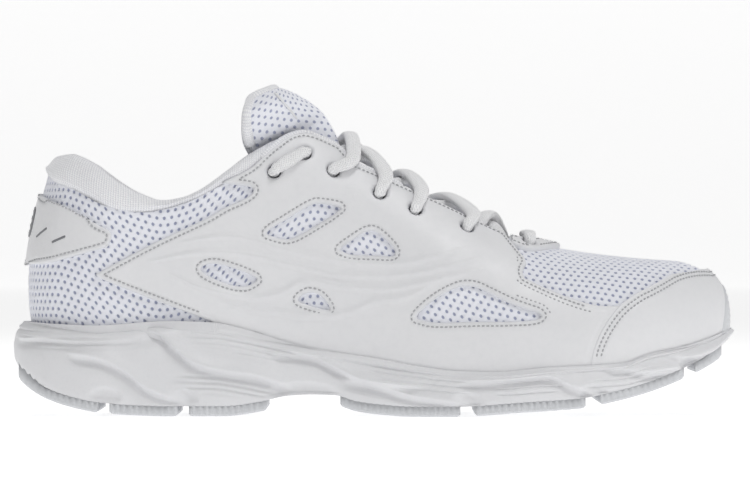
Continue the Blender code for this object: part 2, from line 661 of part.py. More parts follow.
def sole_side(x, side, inset):
    """y of the sole's bottom edge at x."""
    v = math.acos(max(-1, min(1, -2 * x / SOLE_LENGTH))) / math.pi
    edge = float(SOLE[side](v))
    middle = float(centre_y(x))
    return edge - math.copysign(min(inset, abs(edge - middle) * 0.8), edge - middle)


PAD_INSET = 3.4
PAD_GROOVE = 2.5


def make_pad(name, x0, x1, sides, cells):
    """One outsole pad between x0 and x1: it follows the rocker and keeps one thickness."""
    rows = []
    across = 4 if len(sides) == 2 else 3
    for i in range(cells + 1):
        x = x0 + (x1 - x0) * i / cells
        if len(sides) == 2:
            start = sole_side(x, 1, PAD_INSET)
            end = sole_side(x, -1, PAD_INSET)
        else:
            start = sole_side(x, sides[0], PAD_INSET)
            end = float(centre_y(x)) + PAD_GROOVE * (-1 if sides[0] == 1 else 1)
        low = float(ground_height(x))
        row = [(x, start + (end - start) * j / across, low) for j in range(across + 1)]
        row += [(x, start + (end - start) * j / across, low + PAD_THICKNESS) for j in range(across, -1, -1)]
        rows.append(row)
    add_part(name, loft(rows, closed_points=True), "rubber")


def make_outsole():
    make_pad("outsole_heel", -147.0, -113.0, (1, -1), 10)
    for side, name in ((1, "lateral"), (-1, "medial")):
        make_pad(f"outsole_rear_{name}", -108.5, -80.5, (side,), 5)
        make_pad(f"outsole_waist_{name}", -76.0, -44.0, (side,), 6)
        make_pad(f"outsole_ball_{name}", -14.0, 35.0, (side,), 8)
        make_pad(f"outsole_fore_{name}", 41.0, 86.0, (side,), 7)
        make_pad(f"outsole_tread_{name}", 92.0, 127.0, (side,), 6)
    make_pad("outsole_toe", 131.5, 143.5, (1, -1), 5)


# Tongue
TONGUE_SPLIT_X = -13.0
TONGUE_BASE_X = 56.0
TONGUE_CENTRE_DEPTH = 5.0
TONGUE_SIDE_DEPTH = 9.6
FLAP_LINE = [(-14.8, 109.6), (-18.2, 116.8), (-23.5, 124.6), (-32.5, 131.2), (-41, 135.2)]
flap_x = smooth([(i / 4, p[0]) for i, p in enumerate(FLAP_LINE)])
flap_z = smooth([(i / 4, p[1]) for i, p in enumerate(FLAP_LINE)])
flap_width = smooth([(0, 9.5), (0.15, 8), (0.4, 8.5), (0.52, 16), (0.67, 25.5), (0.8, 27), (1, 20)])
flap_drop = smooth([(0, 30), (0.25, 40), (0.5, 38), (0.75, 27), (1, 12)])
flap_lean = smooth([(0, 45), (0.25, 62), (1, 66)])
flap_thickness = smooth([(0, 4.5), (0.5, 6.5), (0.9, 6.0), (1, 4.0)])
tongue_thickness = smooth([(-12, 4.2), (20, 3.4), (56, 2.6)])
tongue_half = smooth([(-12, 25), (20, 27), (45, 24), (56, 17)])


def tongue_low_point(x, b, depth):
    """The lasted part of the tongue: b from -1 (lateral edge) to 1, depth below its outer face."""
    side = 1 if b < 0 else -1
    across = abs(b) * float(tongue_half(x))
    u, t = from_top(x, across, side)
    sink = min(1.0, max(0.0, (across - 1.0) / 8.5))
    sink = sink * sink * (3 - 2 * sink)
    below = TONGUE_CENTRE_DEPTH + (TONGUE_SIDE_DEPTH - TONGUE_CENTRE_DEPTH) * sink + depth
    if across < 0.01:
        p = point_on_upper(u, t)
        return (p[0], p[1], p[2] - below)
    return on_upper(u, t, -below)


def flap_point(s, b, depth):
    """The free top of the tongue: s from 0 at the top crossing to 1 at the tip."""
    width = float(flap_width(s))
    drop = float(flap_drop(s))
    lean = math.radians(float(flap_lean(s)))
    angle = b * math.radians(78)
    fall = drop * (1 - math.cos(angle)) + depth * math.cos(angle * 0.7)
    y = (width - depth * 0.9) * math.sin(angle)
    x = float(flap_x(s))
    z = float(flap_z(s))
    return (x - math.sin(lean) * fall, float(centre_y(x)) + y, z - math.cos(lean) * fall)


def slab(name, slot, surface, thickness, stations, top, bottom, origin):
    """A closed layer of the tongue between two shares of its thickness."""
    rows = []
    across = 10
    for at in stations:
        thick = float(thickness(at))
        bs = [-1 + 2 * j / across for j in range(across + 1)]
        row = [surface(at, b, top * thick) for b in bs]
        row += [surface(at, b, bottom * thick) for b in reversed(bs)]
        rows.append(row)
    return add_part(name, loft(rows, closed_points=True), slot, origin)


def make_tongue():
    low = [TONGUE_BASE_X + (TONGUE_SPLIT_X - TONGUE_BASE_X) * i / 8 for i in range(9)]
    flap = [i / 8 for i in range(9)]
    slab("tongue_lower", "mesh", tongue_low_point, tongue_thickness, low, 0, 0.5, HINGE_TONGUE)
    slab("tongue_lower_lining", "lining", tongue_low_point, tongue_thickness, low, 0.72, 1.05, HINGE_TONGUE)
    slab("tongue_flap", "mesh", flap_point, flap_thickness, flap, 0, 0.5, HINGE_FLAP)
    slab("tongue_flap_lining", "lining", flap_point, flap_thickness, flap, 0.72, 1.1, HINGE_FLAP)


# Lace
OUTSIDE = 4.2
INSIDE = -6.4
TOP_CROSSING = 2
OVER_CROSSING = 3.8
UNDER_CROSSING = -0.6
AGLET_LENGTH = 20.0
AGLET_RADIUS = 1.5
throat_edge_height = smooth([(-29.5, 115.7), (-23.2, 113.8), (-15.2, 109.8), (-8, 105.6)])


def by_eyelet(side, i, offset):
    """The point at eyelet i, at the given distance outside the lasted surface."""
    u, t = from_top(*BASE_EYELET, side) if i == len(EYELETS) else from_side(*EYELETS[i], side)
    return np.array(on_upper(u, t, offset))


def by_edge(side, x, back, offset):
    """A point back millimetres from the throat's edge at x."""
    if x > -16:
        u, t = from_top(x, throat_gap(x) + back)
    else:
        u, t = from_side(x, float(throat_edge_height(x)) - back)
    return np.array(on_upper(side * u, t, offset))


def through(side, i, outward):
    """The points that carry the lace through eyelet i, from inside to outside or the other way."""
    points = [by_eyelet(side, i, offset) for offset in (-6.6, -3.0, 0.6, 3.4)]
    return points if outward else points[::-1]


def over_middle(x, offset):
    return np.array([x, float(centre_y(x)), float(ridge_height(x)) + offset])


def crossing(side, i, over):
    """From eyelet i on one side, over the throat, to below the next eyelet on the other side."""
    x0 = EYELETS[i][0] + 1.0
    x1 = EYELETS[i - 1][0] + 4.0
    middle_x = 0.5 * (x0 + x1)
    rise = 0.0
    past = -3.5
    if i == TOP_CROSSING:
        x0 = -10.0
        x1 = -16.5
        middle_x = -10.5 if over else -8.5
        rise = 0.4
        past = 0.5
    middle = over_middle(middle_x, rise + (OVER_CROSSING if over else UNDER_CROSSING))
    return [by_edge(side, x0, 0.5, OUTSIDE + 1.0), middle, by_edge(-side, x1, past, INSIDE + 1.0),
            by_edge(-side, x1, 2.0, INSIDE)]


def strand(side):
    """Half of the lace, from the middle of the base bar to the aglet, starting towards one side."""
    last = len(EYELETS)
    bar_x = BASE_EYELET[0]
    points = [over_middle(bar_x, OUTSIDE + 0.8), by_edge(side, bar_x - 0.5, 2.5, OUTSIDE + 1.2)]
    points += through(side, last, outward=False)
    points.append(by_edge(side, bar_x - 5, 2.5, INSIDE))
    points.append(over_middle(48.0, -0.2 if side > 0 else -0.2 + 2.6 * LACE_RADIUS))
    side = -side
    points.append(by_edge(side, EYELETS[-1][0] + 4, 2.0, INSIDE))
    for i in range(last - 1, 1, -1):
        points += through(side, i, outward=True)
        points += crossing(side, i, over=side > 0)
        side = -side
    points += through(side, 1, outward=True)
    points.append(0.5 * (by_eyelet(side, 1, OUTSIDE) + by_eyelet(side, 0, OUTSIDE)))
    points += through(side, 0, outward=False)
    start = by_eyelet(side, 0, -9.5)
    points += [start + np.array([-1.0 - 3.2 * k, 0, -3.0 - 9.0 * k]) for k in range(4)]
    return points


def smooth_route(route, steps):
    """A smooth curve through the route's points (Catmull-Rom), in the given steps between them."""
    p = [2 * route[0] - route[1], *route, 2 * route[-1] - route[-2]]
    made = []
    for a, b, c, d in zip(p, p[1:], p[2:], p[3:]):
        for j in range(steps):
            k = j / steps
            made.append(0.5 * (2 * b + (c - a) * k + (2 * a - 5 * b + 4 * c - d) * k * k
                               + (3 * b - a - 3 * c + d) * k ** 3))
    made.append(route[-1])
    return made


def tube(name, points, radius, slot, resolution):
    data = bpy.data.curves.new(name, "CURVE")
    data.dimensions = "3D"
    data.bevel_depth = radius * MM
    data.bevel_resolution = resolution
    data.use_fill_caps = True
    line = data.splines.new("POLY")
    line.points.add(len(points) - 1)
    for point, p in zip(line.points, points):
        point.co = (*[float(c) * MM for c in p], 1)
    data.materials.append(material(slot))
    obj = bpy.data.objects.new(name, data)
    parts_collection.objects.link(obj)
    return obj


def make_lace():
    """One lace: a bar at the throat's base, crossings to the top, each end tucked inside the collar."""
    route = strand(1)[::-1] + strand(-1)[1:]
    points = smooth_route(route, 2)
    tube("lace", points, LACE_RADIUS, "cord", 1)
    make_aglet("aglet_lateral", points[0], points[1])
    make_aglet("aglet_medial", points[-1], points[-2])


def make_aglet(name, end, before):
    away = (end - before) / np.linalg.norm(end - before)
    tube(name, [end + away * GAP, end + away * (GAP + AGLET_LENGTH)], AGLET_RADIUS, "aglet", 2)


def main():
    global parts_collection
    for obj in list(bpy.data.objects):
        bpy.data.objects.remove(obj, do_unlink=True)
    parts_collection = new_collection("cheer_shoe")
    make_outsole()
    make_midsole()
    make_board("strobel_board", "board", 2.8, 0.6, 1.7)
    make_board("sockliner", "lining", 5.0, 2.2, 5.8, origin=HINGE_SOCKLINER)
    make_upper()
    make_collar(1, "lateral")
    make_collar(-1, "medial")
    make_tongue()
    make_lace()


main()
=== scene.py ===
"""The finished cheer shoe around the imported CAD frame.

The toe is along +X, the lateral side along -Y and the shoe rests on Z = 0. Shapes are worked
out in millimetres. The upper's pieces lie on one lasted surface, point_on_upper(u, t): u runs
round the shoe (0 at the heel's back, 1 at the toe, negative or past 1 on the medial side) and
t runs up the section, from the sole's rim to the ridge of the instep.
"""

import math

import bpy
import numpy as np
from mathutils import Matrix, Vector
from mathutils.kdtree import KDTree


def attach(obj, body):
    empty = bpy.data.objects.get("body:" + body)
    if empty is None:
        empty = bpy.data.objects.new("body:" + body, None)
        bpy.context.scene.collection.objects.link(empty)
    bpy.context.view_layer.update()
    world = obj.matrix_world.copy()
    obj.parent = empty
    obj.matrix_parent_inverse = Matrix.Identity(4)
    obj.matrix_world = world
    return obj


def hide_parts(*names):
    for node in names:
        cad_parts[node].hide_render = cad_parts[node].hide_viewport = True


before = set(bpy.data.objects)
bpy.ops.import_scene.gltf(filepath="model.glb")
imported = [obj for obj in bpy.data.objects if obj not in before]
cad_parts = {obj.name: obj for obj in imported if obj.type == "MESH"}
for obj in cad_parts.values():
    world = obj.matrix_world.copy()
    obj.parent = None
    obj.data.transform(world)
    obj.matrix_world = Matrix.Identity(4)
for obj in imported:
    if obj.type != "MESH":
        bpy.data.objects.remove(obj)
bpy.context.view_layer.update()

MM = 0.001
TURN = 2 * math.pi
SIDES = ((1, "lateral"), (-1, "medial"))

# The lasted surface, in millimetres, as the CAD has it
SOLE_LENGTH = 299.2
FEATHER_LENGTH = 287.2
FEATHER_CENTRE_X = 1.4
HEEL_FAN = -70.0
TOE_FAN = 70.0


def smooth(points):
    """A smooth curve value(x) through (x, value) points, without overshoot between them."""
    xs, ys = np.array(points, float).T
    steps = np.diff(xs)
    slopes = np.diff(ys) / steps
    tangents = np.zeros(len(xs))
    tangents[0], tangents[-1] = slopes[0], slopes[-1]
    for i in range(1, len(xs) - 1):
        if slopes[i - 1] * slopes[i] > 0:
            a = 2 * steps[i] + steps[i - 1]
            b = steps[i] + 2 * steps[i - 1]
            tangents[i] = (a + b) / (a / slopes[i - 1] + b / slopes[i])

    def value(x):
        x = np.clip(x, xs[0], xs[-1])
        i = np.clip(np.searchsorted(xs, x) - 1, 0, len(steps) - 1)
        s = (x - xs[i]) / steps[i]
        rise = ys[i] + (ys[i + 1] - ys[i]) * s * s * (3 - 2 * s)
        return rise + s * (1 - s) * ((1 - s) * tangents[i] - s * tangents[i + 1]) * steps[i]

    return value


def half_outline(points, length, centre):
    """Half width against v, where x = centre - length / 2 * cos(pi v)."""
    turned = [(math.acos(max(-1, min(1, 2 * (centre - x) / length))) / math.pi, y) for x, y in points]
    return smooth(turned)


FEATHER = {
    1: half_outline(
        [(-142.2, 0), (-138.5, -15), (-129, -26.5), (-108, -33), (-75, -32.5), (-40, -31), (-5, -34.5),
         (30, -42), (60, -46.3), (85, -45), (108, -38), (128, -25), (140, -9.5), (145, 6)],
        FEATHER_LENGTH, FEATHER_CENTRE_X),
    -1: half_outline(
        [(-142.2, 0), (-138.5, 14.5), (-129, 25.5), (-103, 31.5), (-65, 28), (-30, 26), (0, 30.5), (30, 39),
         (60, 45.8), (85, 46.5), (108, 42.5), (128, 34), (140, 20.5), (145, 6)],
        FEATHER_LENGTH, FEATHER_CENTRE_X),
}
SOLE = {
    1: half_outline(
        [(-149.6, 0), (-145, -17), (-133, -31), (-108, -38), (-75, -37), (-40, -35.5), (-5, -40),
         (30, -47.8), (60, -51.5), (85, -49.8), (110, -41.5), (131, -27), (144, -9), (149.6, 7)],
        SOLE_LENGTH, 0.0),
    -1: half_outline(
        [(-149.6, 0), (-145, 17), (-133, 30), (-105, 37), (-65, 33.5), (-30, 31.5), (0, 35.5), (30, 44.2),
         (60, 50.8), (85, 51.5), (110, 46.5), (131, 36), (144, 22), (149.6, 7)],
        SOLE_LENGTH, 0.0),
}
rim_height = smooth(
    [(-150, 39.2), (-130, 37.9), (-115, 37.4), (-84, 39.2), (-66, 38.6), (-51, 35.3), (-36, 30.8),
     (-21, 27.3), (0, 24.2), (15, 21.4), (35, 18.9), (50, 18.7), (70, 20.4), (90, 21.4), (102, 22.4),
     (112, 25.8), (129, 29.3), (139, 32.3), (150, 36.8)])
foot_height = smooth(
    [(-150, 30), (-100, 28.8), (-60, 27.5), (-30, 23.6), (0, 18.6), (30, 14.8), (60, 14.4), (90, 15.6),
     (112, 19.8), (130, 24.8), (140, 28.4), (150, 32.0)])
ground_height = smooth(
    [(-150, 18), (-146.5, 14.5), (-140.5, 10), (-134.6, 7), (-125.6, 4), (-112.8, 1.5), (-98, 0.4),
     (-84, 0), (-62, 0), (-46, 2), (-36, 4.2), (-26, 4.8), (-16, 4.5), (-8, 2.2), (0, 1.0), (16, 0),
     (32, 0), (60, 1.8), (85, 3.6), (97, 6), (109, 9), (127, 15.4), (143, 23.6), (150, 30)])
ridge_height = smooth(
    [(-150, 104.0), (-135, 104.0), (-127, 104.5), (-118, 101.5), (-105, 93.5), (-98, 89.8), (-87, 86.8),
     (-80, 88), (-73, 91), (-62, 99), (-50, 109), (-38, 117.0), (-28, 119.5), (-15, 113.5), (0, 105.5),
     (15, 96.8), (31, 88.2), (45, 80.4), (56, 75.2), (66, 71.4), (78, 68.7), (90, 66.8), (103, 65.3),
     (118, 63.9), (150, 62.0)])
# The section's Bezier control points: their shares of the half width and of the height
side_bulge = smooth(
    [(-142.2, 1.13), (-120, 1.05), (-95, 1.0), (-20, 1.03), (40, 1.06), (100, 1.07), (145, 1.07)])
side_rise = smooth([(-142.2, 0.33), (-90, 0.36), (0, 0.5), (60, 0.52), (110, 0.56), (145, 0.64)])
top_pull = smooth(
    [(-142.2, 0.90), (-110, 0.97), (-70, 0.93), (-40, 0.85), (-10, 0.78), (30, 0.70), (70, 0.64),
     (145, 0.78)])
top_rise = smooth([(-142.2, 0.72), (-90, 0.72), (-55, 0.8), (-25, 0.97), (0, 1.0), (145, 1.0)])
top_share = smooth(
    [(-142.2, 0.773), (-128, 0.86), (-100, 0.9), (-75, 0.86), (-58, 0.76), (-42, 0.52), (-25, 0.16),
     (-12, 0.0), (145, 0.0)])
centre_y = smooth(
    [(-142, 0), (-80, 0), (-40, -1.8), (0, -1.5), (30, -0.8), (60, 0.8), (90, 3.0), (118, 5.6)])


def spine_x(x):
    """The section planes fan out round the heel and the toe, and lie square to X between them."""
    heel = np.clip((HEEL_FAN - x) / (HEEL_FAN + 142.2), 0, 1)
    toe = np.clip((x - TOE_FAN) / (145.0 - TOE_FAN), 0, 1)
    middle = np.clip(x, HEEL_FAN, TOE_FAN)
    return middle - 36.0 * (2 * heel - heel * heel) + toe * 75.0 - toe * toe * 27.0


def plan_point(u, outlines=FEATHER, length=FEATHER_LENGTH, centre=FEATHER_CENTRE_X):
    """x and y of the outline at u."""
    u = (np.asarray(u, float) + 1) % 2 - 1
    v = np.abs(u)
    x = centre - length / 2 * np.cos(math.pi * v)
    return x, np.where(u >= 0, outlines[1](v), outlines[-1](v))


def point_on_upper(u, t):
    """The lasted surface, before any piece's own thickness."""
    bx, by = plan_point(u)
    t = np.asarray(t, float)
    cx = spine_x(bx)
    cy = centre_y(cx)
    share = top_share(bx)
    rim = rim_height(bx)
    rise = ridge_height(np.where(bx > TOE_FAN, cx, cx + share * (bx - cx))) - rim
    s = np.clip(t, 0, 1)
    b0, b1, b2, b3 = (1 - s) ** 3, 3 * s * (1 - s) ** 2, 3 * s * s * (1 - s), s ** 3
    k = b0 + b1 * side_bulge(bx) + b2 * top_pull(bx) + b3 * share
    z = rim + rise * (b1 * side_rise(bx) + b2 * top_rise(bx) + b3)
    z = z + np.clip(t, -1, 0) * 10.0 * (rim - foot_height(bx) - 0.6)
    return np.stack([cx + k * (bx - cx), cy + k * (by - cy), z], -1)


def unit(vectors):
    return vectors / np.maximum(np.linalg.norm(vectors, axis=-1, keepdims=True), 1e-9)


def lengths_along(line):
    """The length from a line's start to each of its points."""
    return np.concatenate([[0], np.cumsum(np.linalg.norm(np.diff(line, axis=0), axis=1))])


def normal_on_upper(u, t):
    step = 1e-3
    tc = np.clip(t, -0.05, 1 - step)
    along = point_on_upper(np.asarray(u) + step, tc) - point_on_upper(np.asarray(u) - step, tc)
    up = point_on_upper(u, tc + step) - point_on_upper(u, tc - step)
    return unit(np.cross(along, up))


def on_upper(u, t, offset=0.0):
    """A point at the given distance outside the lasted surface."""
    u, t = np.asarray(u, float), np.asarray(t, float)
    n = normal_on_upper(u, t)
    top = np.abs(t)[..., None] >= 0.999
    n = unit(np.where(top, n * 0.5 + normal_on_upper(-u, t) * 0.5, n))
    return point_on_upper(u, t) + n * np.asarray(offset)[..., None]


def at_x(x):
    """v where the feather line passes x."""
    return math.acos(max(-1, min(1, (FEATHER_CENTRE_X - x) * 2 / FEATHER_LENGTH))) / math.pi


TABLE_V, TABLE_T = np.meshgrid(np.linspace(0.002, 0.998, 240), np.linspace(0, 1, 81), indexing="ij")
TABLE = point_on_upper(TABLE_V, TABLE_T).reshape(-1, 3)


def from_side(points):
    """(v, t) of the lateral points seen at (x, z) from the side, as an array."""
    points = np.asarray(points, float)
    near = [int(np.argmin((TABLE[:, 0] - x) ** 2 + (TABLE[:, 2] - z) ** 2)) for x, z in points]
    v, t = TABLE_V.ravel()[near], TABLE_T.ravel()[near]
    step = 1e-4
    for _ in range(12):
        p = point_on_upper(v, t)
        dv = (point_on_upper(v + step, t) - p) / step
        dt = (point_on_upper(v, t + step) - p) / step
        gx, gz = points[:, 0] - p[:, 0], points[:, 1] - p[:, 2]
        det = dv[:, 0] * dt[:, 2] - dv[:, 2] * dt[:, 0]
        det = np.where(np.abs(det) < 1e3, np.copysign(1e3, det), det)
        v = np.clip(v + np.clip((gx * dt[:, 2] - gz * dt[:, 0]) / det, -0.01, 0.01), 0.001, 0.999)
        t = np.clip(t + np.clip((gz * dv[:, 0] - gx * dv[:, 2]) / det, -0.03, 0.03), -0.05, 1)
    return np.stack([v, t], -1)


def from_top(x, half_gap, side=1):
    """The (u, t) at x, half_gap beside the spine, where the sections are square."""
    v = at_x(x)
    ts = np.linspace(0.4, 1, 601)
    column = point_on_upper(np.full_like(ts, side * v), ts)
    width = np.abs(column[:, 1] - float(centre_y(spine_x(x))))
    return side * v, float(np.interp(-half_gap, -width, ts))


# Distances over the surface, for weaves that keep their size
GIRTH_V = np.linspace(0, 1, 401)
GIRTH_T = np.linspace(0, 1, 121)


def girth_table(side):
    grid = point_on_upper(side * GIRTH_V[:, None], GIRTH_T[None, :])
    steps = np.linalg.norm(np.diff(grid, axis=1), axis=-1)
    return np.concatenate([np.cumsum(steps[:, ::-1], 1)[:, ::-1], np.zeros((len(GIRTH_V), 1))], 1)


GIRTHS = {side: girth_table(side) for side in (1, -1)}
HEEL_ARC = lengths_along(point_on_upper(GIRTH_V, 0.4))


def cloth_place(u, t, points):
    """Millimetres along the shoe and round it from the ridge, for each point."""
    u = (np.asarray(u, float) + 1) % 2 - 1
    v = np.abs(u) * (len(GIRTH_V) - 1)
    w = np.clip(t, 0, 1) * (len(GIRTH_T) - 1)
    i = np.clip(v.astype(int), 0, len(GIRTH_V) - 2)
    j = np.clip(w.astype(int), 0, len(GIRTH_T) - 2)
    a, b = v - i, w - j
    round_it = 0
    for side, mask in ((1, u >= 0), (-1, u < 0)):
        g = GIRTHS[side]
        near = g[i, j] * (1 - a) + g[i + 1, j] * a
        far = g[i, j + 1] * (1 - a) + g[i + 1, j + 1] * a
        value = near * (1 - b) + far * b
        round_it = round_it + np.where(mask, -side * value, 0)
    start = np.interp(at_x(HEEL_FAN), GIRTH_V, HEEL_ARC)
    behind = HEEL_FAN + np.interp(np.abs(u), GIRTH_V, HEEL_ARC) - start
    return np.where(np.abs(u) < at_x(HEEL_FAN), behind, points[..., 0]), round_it


# Node materials
def opaque(colour):
    return (*colour, 1) if isinstance(colour, tuple) else colour


class Nodes:
    """A material and short ways to join its nodes."""

    def __init__(self, name):
        self.material = bpy.data.materials.new(name)
        self.material.use_nodes = True
        self.tree = self.material.node_tree
        self.shader = self.tree.nodes["Principled BSDF"]

    def add(self, kind, **settings):
        node = self.tree.nodes.new(kind)
        for key, value in settings.items():
            setattr(node, key, value)
        return node

    def put(self, socket, value):
        if isinstance(value, bpy.types.NodeSocket):
            self.tree.links.new(value, socket)
        else:
            socket.default_value = value

    def maths(self, operation, a, b=0.0, c=0.0):
        node = self.add("ShaderNodeMath", operation=operation)
        for socket, value in zip(node.inputs, (a, b, c)):
            self.put(socket, value)
        return node.outputs[0]

    def place(self, attribute):
        """The x, y and z of a vertex attribute."""
        split = self.add("ShaderNodeSeparateXYZ")
        source = self.add("ShaderNodeAttribute", attribute_name=attribute)
        self.put(split.inputs[0], source.outputs["Vector"])
        return split.outputs

    def scaled(self, factor):
        """The object's own coordinates times factor."""
        source = self.add("ShaderNodeTexCoord")
        scale = self.add("ShaderNodeVectorMath", operation="SCALE")
        self.put(scale.inputs[0], source.outputs["Object"])
        scale.inputs["Scale"].default_value = factor
        return scale.outputs[0]

    def noise(self, size, detail):
        """A noise from 0 to 1 whose blobs are about size millimetres."""
        node = self.add("ShaderNodeTexNoise")
        self.put(node.inputs["Vector"], self.scaled(1 / (size * MM)))
        node.inputs["Scale"].default_value = 1.0
        node.inputs["Detail"].default_value = detail
        return node.outputs["Fac"]

    def cells(self, size, feature="F1"):
        node = self.add("ShaderNodeTexVoronoi", feature=feature)
        self.put(node.inputs["Vector"], self.scaled(1 / (size * MM)))
        node.inputs["Scale"].default_value = 1.0
        return node.outputs["Distance"]

    def wave(self, x, pitch):
        """cos of x with the given pitch."""
        return self.maths("COSINE", self.maths("MULTIPLY_ADD", x, TURN / pitch, 0.0))

    def ramp(self, value, low, high, first=0.0, last=1.0):
        node = self.add("ShaderNodeMapRange", interpolation_type="SMOOTHSTEP")
        for socket, given in zip(node.inputs, (value, low, high, first, last)):
            self.put(socket, given)
        return node.outputs[0]

    def blend(self, factor, first, second):
        node = self.add("ShaderNodeMix", data_type="RGBA")
        self.put(node.inputs[0], factor)
        self.put(node.inputs[6], opaque(first))
        self.put(node.inputs[7], opaque(second))
        return node.outputs[2]

    def finish(self, colour, roughness, bump=None, strength=0.5, distance=0.3, **sockets):
        self.put(self.shader.inputs["Base Color"], opaque(colour))
        self.put(self.shader.inputs["Roughness"], roughness)
        for name, value in sockets.items():
            self.shader.inputs[name.replace("_", " ")].default_value = value
        if bump is not None:
            node = self.add("ShaderNodeBump")
            node.inputs["Strength"].default_value = strength
            node.inputs["Distance"].default_value = distance * MM
            self.put(node.inputs["Height"], bump)
            self.put(self.shader.inputs["Normal"], node.outputs[0])
        return self.material


# The mesh's staggered pores, in millimetres along and round the shoe
PORE_X = 3.1
PORE_Y = 5.8
THREAD_PITCH = 0.58
BRAID_PITCH = 1.15


def leather_material():
    n = Nodes("leather_white")
    edge = n.place("cloth")[2]
    tone = n.blend(n.noise(35, 3), (0.745, 0.748, 0.765), (0.80, 0.80, 0.812))
    tone = n.blend(n.ramp(n.noise(2.5, 4), 0.35, 0.75, 0, 0.25), tone, (0.71, 0.715, 0.735))
    # Darker within 1.2 mm of each cut edge: wear along the edge, and painted shade where the edge turns
    # down to the layer below.
    tone = n.blend(n.ramp(edge, 0, 1.2, 0.45, 0.0), tone, (0.70, 0.71, 0.74))
    grain = n.maths("ADD", n.maths("MULTIPLY", n.cells(0.95, "SMOOTH_F1"), 0.9), n.noise(0.35, 3))
    rough = n.ramp(n.noise(9, 3), 0.3, 0.7, 0.40, 0.52)
    return n.finish(tone, rough, grain, 0.22, 0.18, Coat_Weight=0.05, Coat_Roughness=0.35)


def mesh_material():
    n = Nodes("mesh_white")
    x, y, _ = n.place("cloth")
    pores = n.maths("MULTIPLY", n.wave(x, PORE_X), n.wave(y, PORE_Y))
    pores = n.maths("MULTIPLY_ADD", pores, 2.0, n.wave(y, PORE_Y / 2))
    depth = n.ramp(pores, 0.7, 2.4)
    warp = n.wave(n.maths("ADD", x, y), THREAD_PITCH)
    weft = n.wave(n.maths("SUBTRACT", x, y), THREAD_PITCH)
    threads = n.ramp(n.maths("MULTIPLY", warp, weft), -0.6, 0.8)
    tone = n.blend(n.noise(22, 2), (0.885, 0.895, 0.965), (0.935, 0.945, 0.99))
    # Painted shade: the mesh is darker where the threads sink between their crossings.
    tone = n.blend(n.maths("MULTIPLY", threads, 0.2), tone, (0.72, 0.75, 0.86))
    # The pores are dark blue-grey: partly painted shade in the sunk holes, partly the bluish tint of the
    # pores.
    tone = n.blend(depth, tone, (0.36, 0.39, 0.53))
    height = n.maths("SUBTRACT", n.maths("MULTIPLY", threads, -0.3), n.maths("MULTIPLY", depth, 1.0))
    return n.finish(tone, 0.82, height, 0.6, 0.35, Sheen_Weight=0.15, Sheen_Roughness=0.5)


def knit_material(name, pale, dark, pitch_x=1.15, pitch_y=0.95):
    n = Nodes(name)
    x, y, _ = n.place("cloth")
    slant = n.maths("ABSOLUTE", n.wave(x, pitch_x * 2))
    rows = n.wave(n.maths("ADD", y, n.maths("MULTIPLY", slant, pitch_y * 0.55)), pitch_y)
    columns = n.wave(x, pitch_x)
    height = n.maths("ADD", n.maths("MULTIPLY", rows, 0.5), n.maths("MULTIPLY", columns, 0.5))
    # Painted shade: the knit is darker where its surface is low, between rows and columns, and paler on the
    # crests.
    tone = n.blend(n.ramp(height, -0.7, 0.6), dark, pale)
    tone = n.blend(n.ramp(n.noise(14, 3), 0.3, 0.75, 0, 0.22), tone, dark)
    return n.finish(tone, 0.92, height, 0.55, 0.25, Sheen_Weight=0.3, Sheen_Roughness=0.45)


def foam_material():
    n = Nodes("foam_white")
    tone = n.blend(n.noise(28, 3), (0.71, 0.713, 0.73), (0.775, 0.776, 0.79))
    tone = n.blend(n.ramp(n.noise(1.3, 4), 0.45, 0.8, 0, 0.3), tone, (0.67, 0.675, 0.70))
    skin = n.maths("ADD", n.noise(0.5, 3), n.maths("MULTIPLY", n.cells(0.35), 0.4))
    return n.finish(tone, n.ramp(n.noise(6, 3), 0.3, 0.7, 0.44, 0.58), skin, 0.12, 0.12)


def rubber_material():
    n = Nodes("rubber_clear_white")
    tone = n.blend(n.noise(18, 3), (0.58, 0.592, 0.615), (0.68, 0.69, 0.71))
    return n.finish(tone, n.ramp(n.noise(5, 3), 0.3, 0.7, 0.36, 0.5), n.noise(0.4, 3), 0.12, 0.1)


def lace_material():
    n = Nodes("lace_white")
    x, y, _ = n.place("cloth")
    over = n.wave(n.maths("ADD", x, y), BRAID_PITCH)
    under = n.wave(n.maths("SUBTRACT", x, y), BRAID_PITCH)
    braid = n.maths("MAXIMUM", over, under)
    # Painted shade: the braid is darker between its raised strands and paler on them.
    tone = n.blend(n.ramp(braid, -0.2, 0.75), (0.86, 0.862, 0.88), (0.98, 0.98, 0.985))
    return n.finish(tone, 0.8, braid, 0.6, 0.3, Sheen_Weight=0.25, Sheen_Roughness=0.4)


def plain_material(name, colour, roughness, size=1.2, strength=0.2, **sockets):
    n = Nodes(name)
    darker = tuple(c * 0.86 for c in colour)
    tone = n.blend(n.noise(size * 6, 3), darker, colour)
    return n.finish(tone, roughness, n.noise(size, 4), strength, 0.15, **sockets)


LEATHER = leather_material()
MESH = mesh_material()
KNIT = knit_material("collar_knit", (0.96, 0.96, 0.97), (0.76, 0.765, 0.80))
LINING = knit_material("lining_knit", (0.87, 0.872, 0.885), (0.66, 0.67, 0.71), 1.6, 1.3)
FOAM = foam_material()
RUBBER = rubber_material()
LACE = lace_material()
# The stitch thread is mid grey rather than white: painted shade for the gaps where each stitch sinks into
# the leather.
STITCH_THREAD_AND_SHADE = plain_material("thread_grey_painted_shade", (0.46, 0.465, 0.48), 0.6, 0.3, 0.3)
BOARD = plain_material("fibre_board", (0.62, 0.60, 0.56), 0.9, 0.8, 0.3)
BADGE = plain_material("badge_grey", (0.20, 0.205, 0.22), 0.42, 0.5, 0.15)
AGLET = plain_material("aglet_clear", (0.82, 0.83, 0.85), 0.2, 1.0, 0.05)


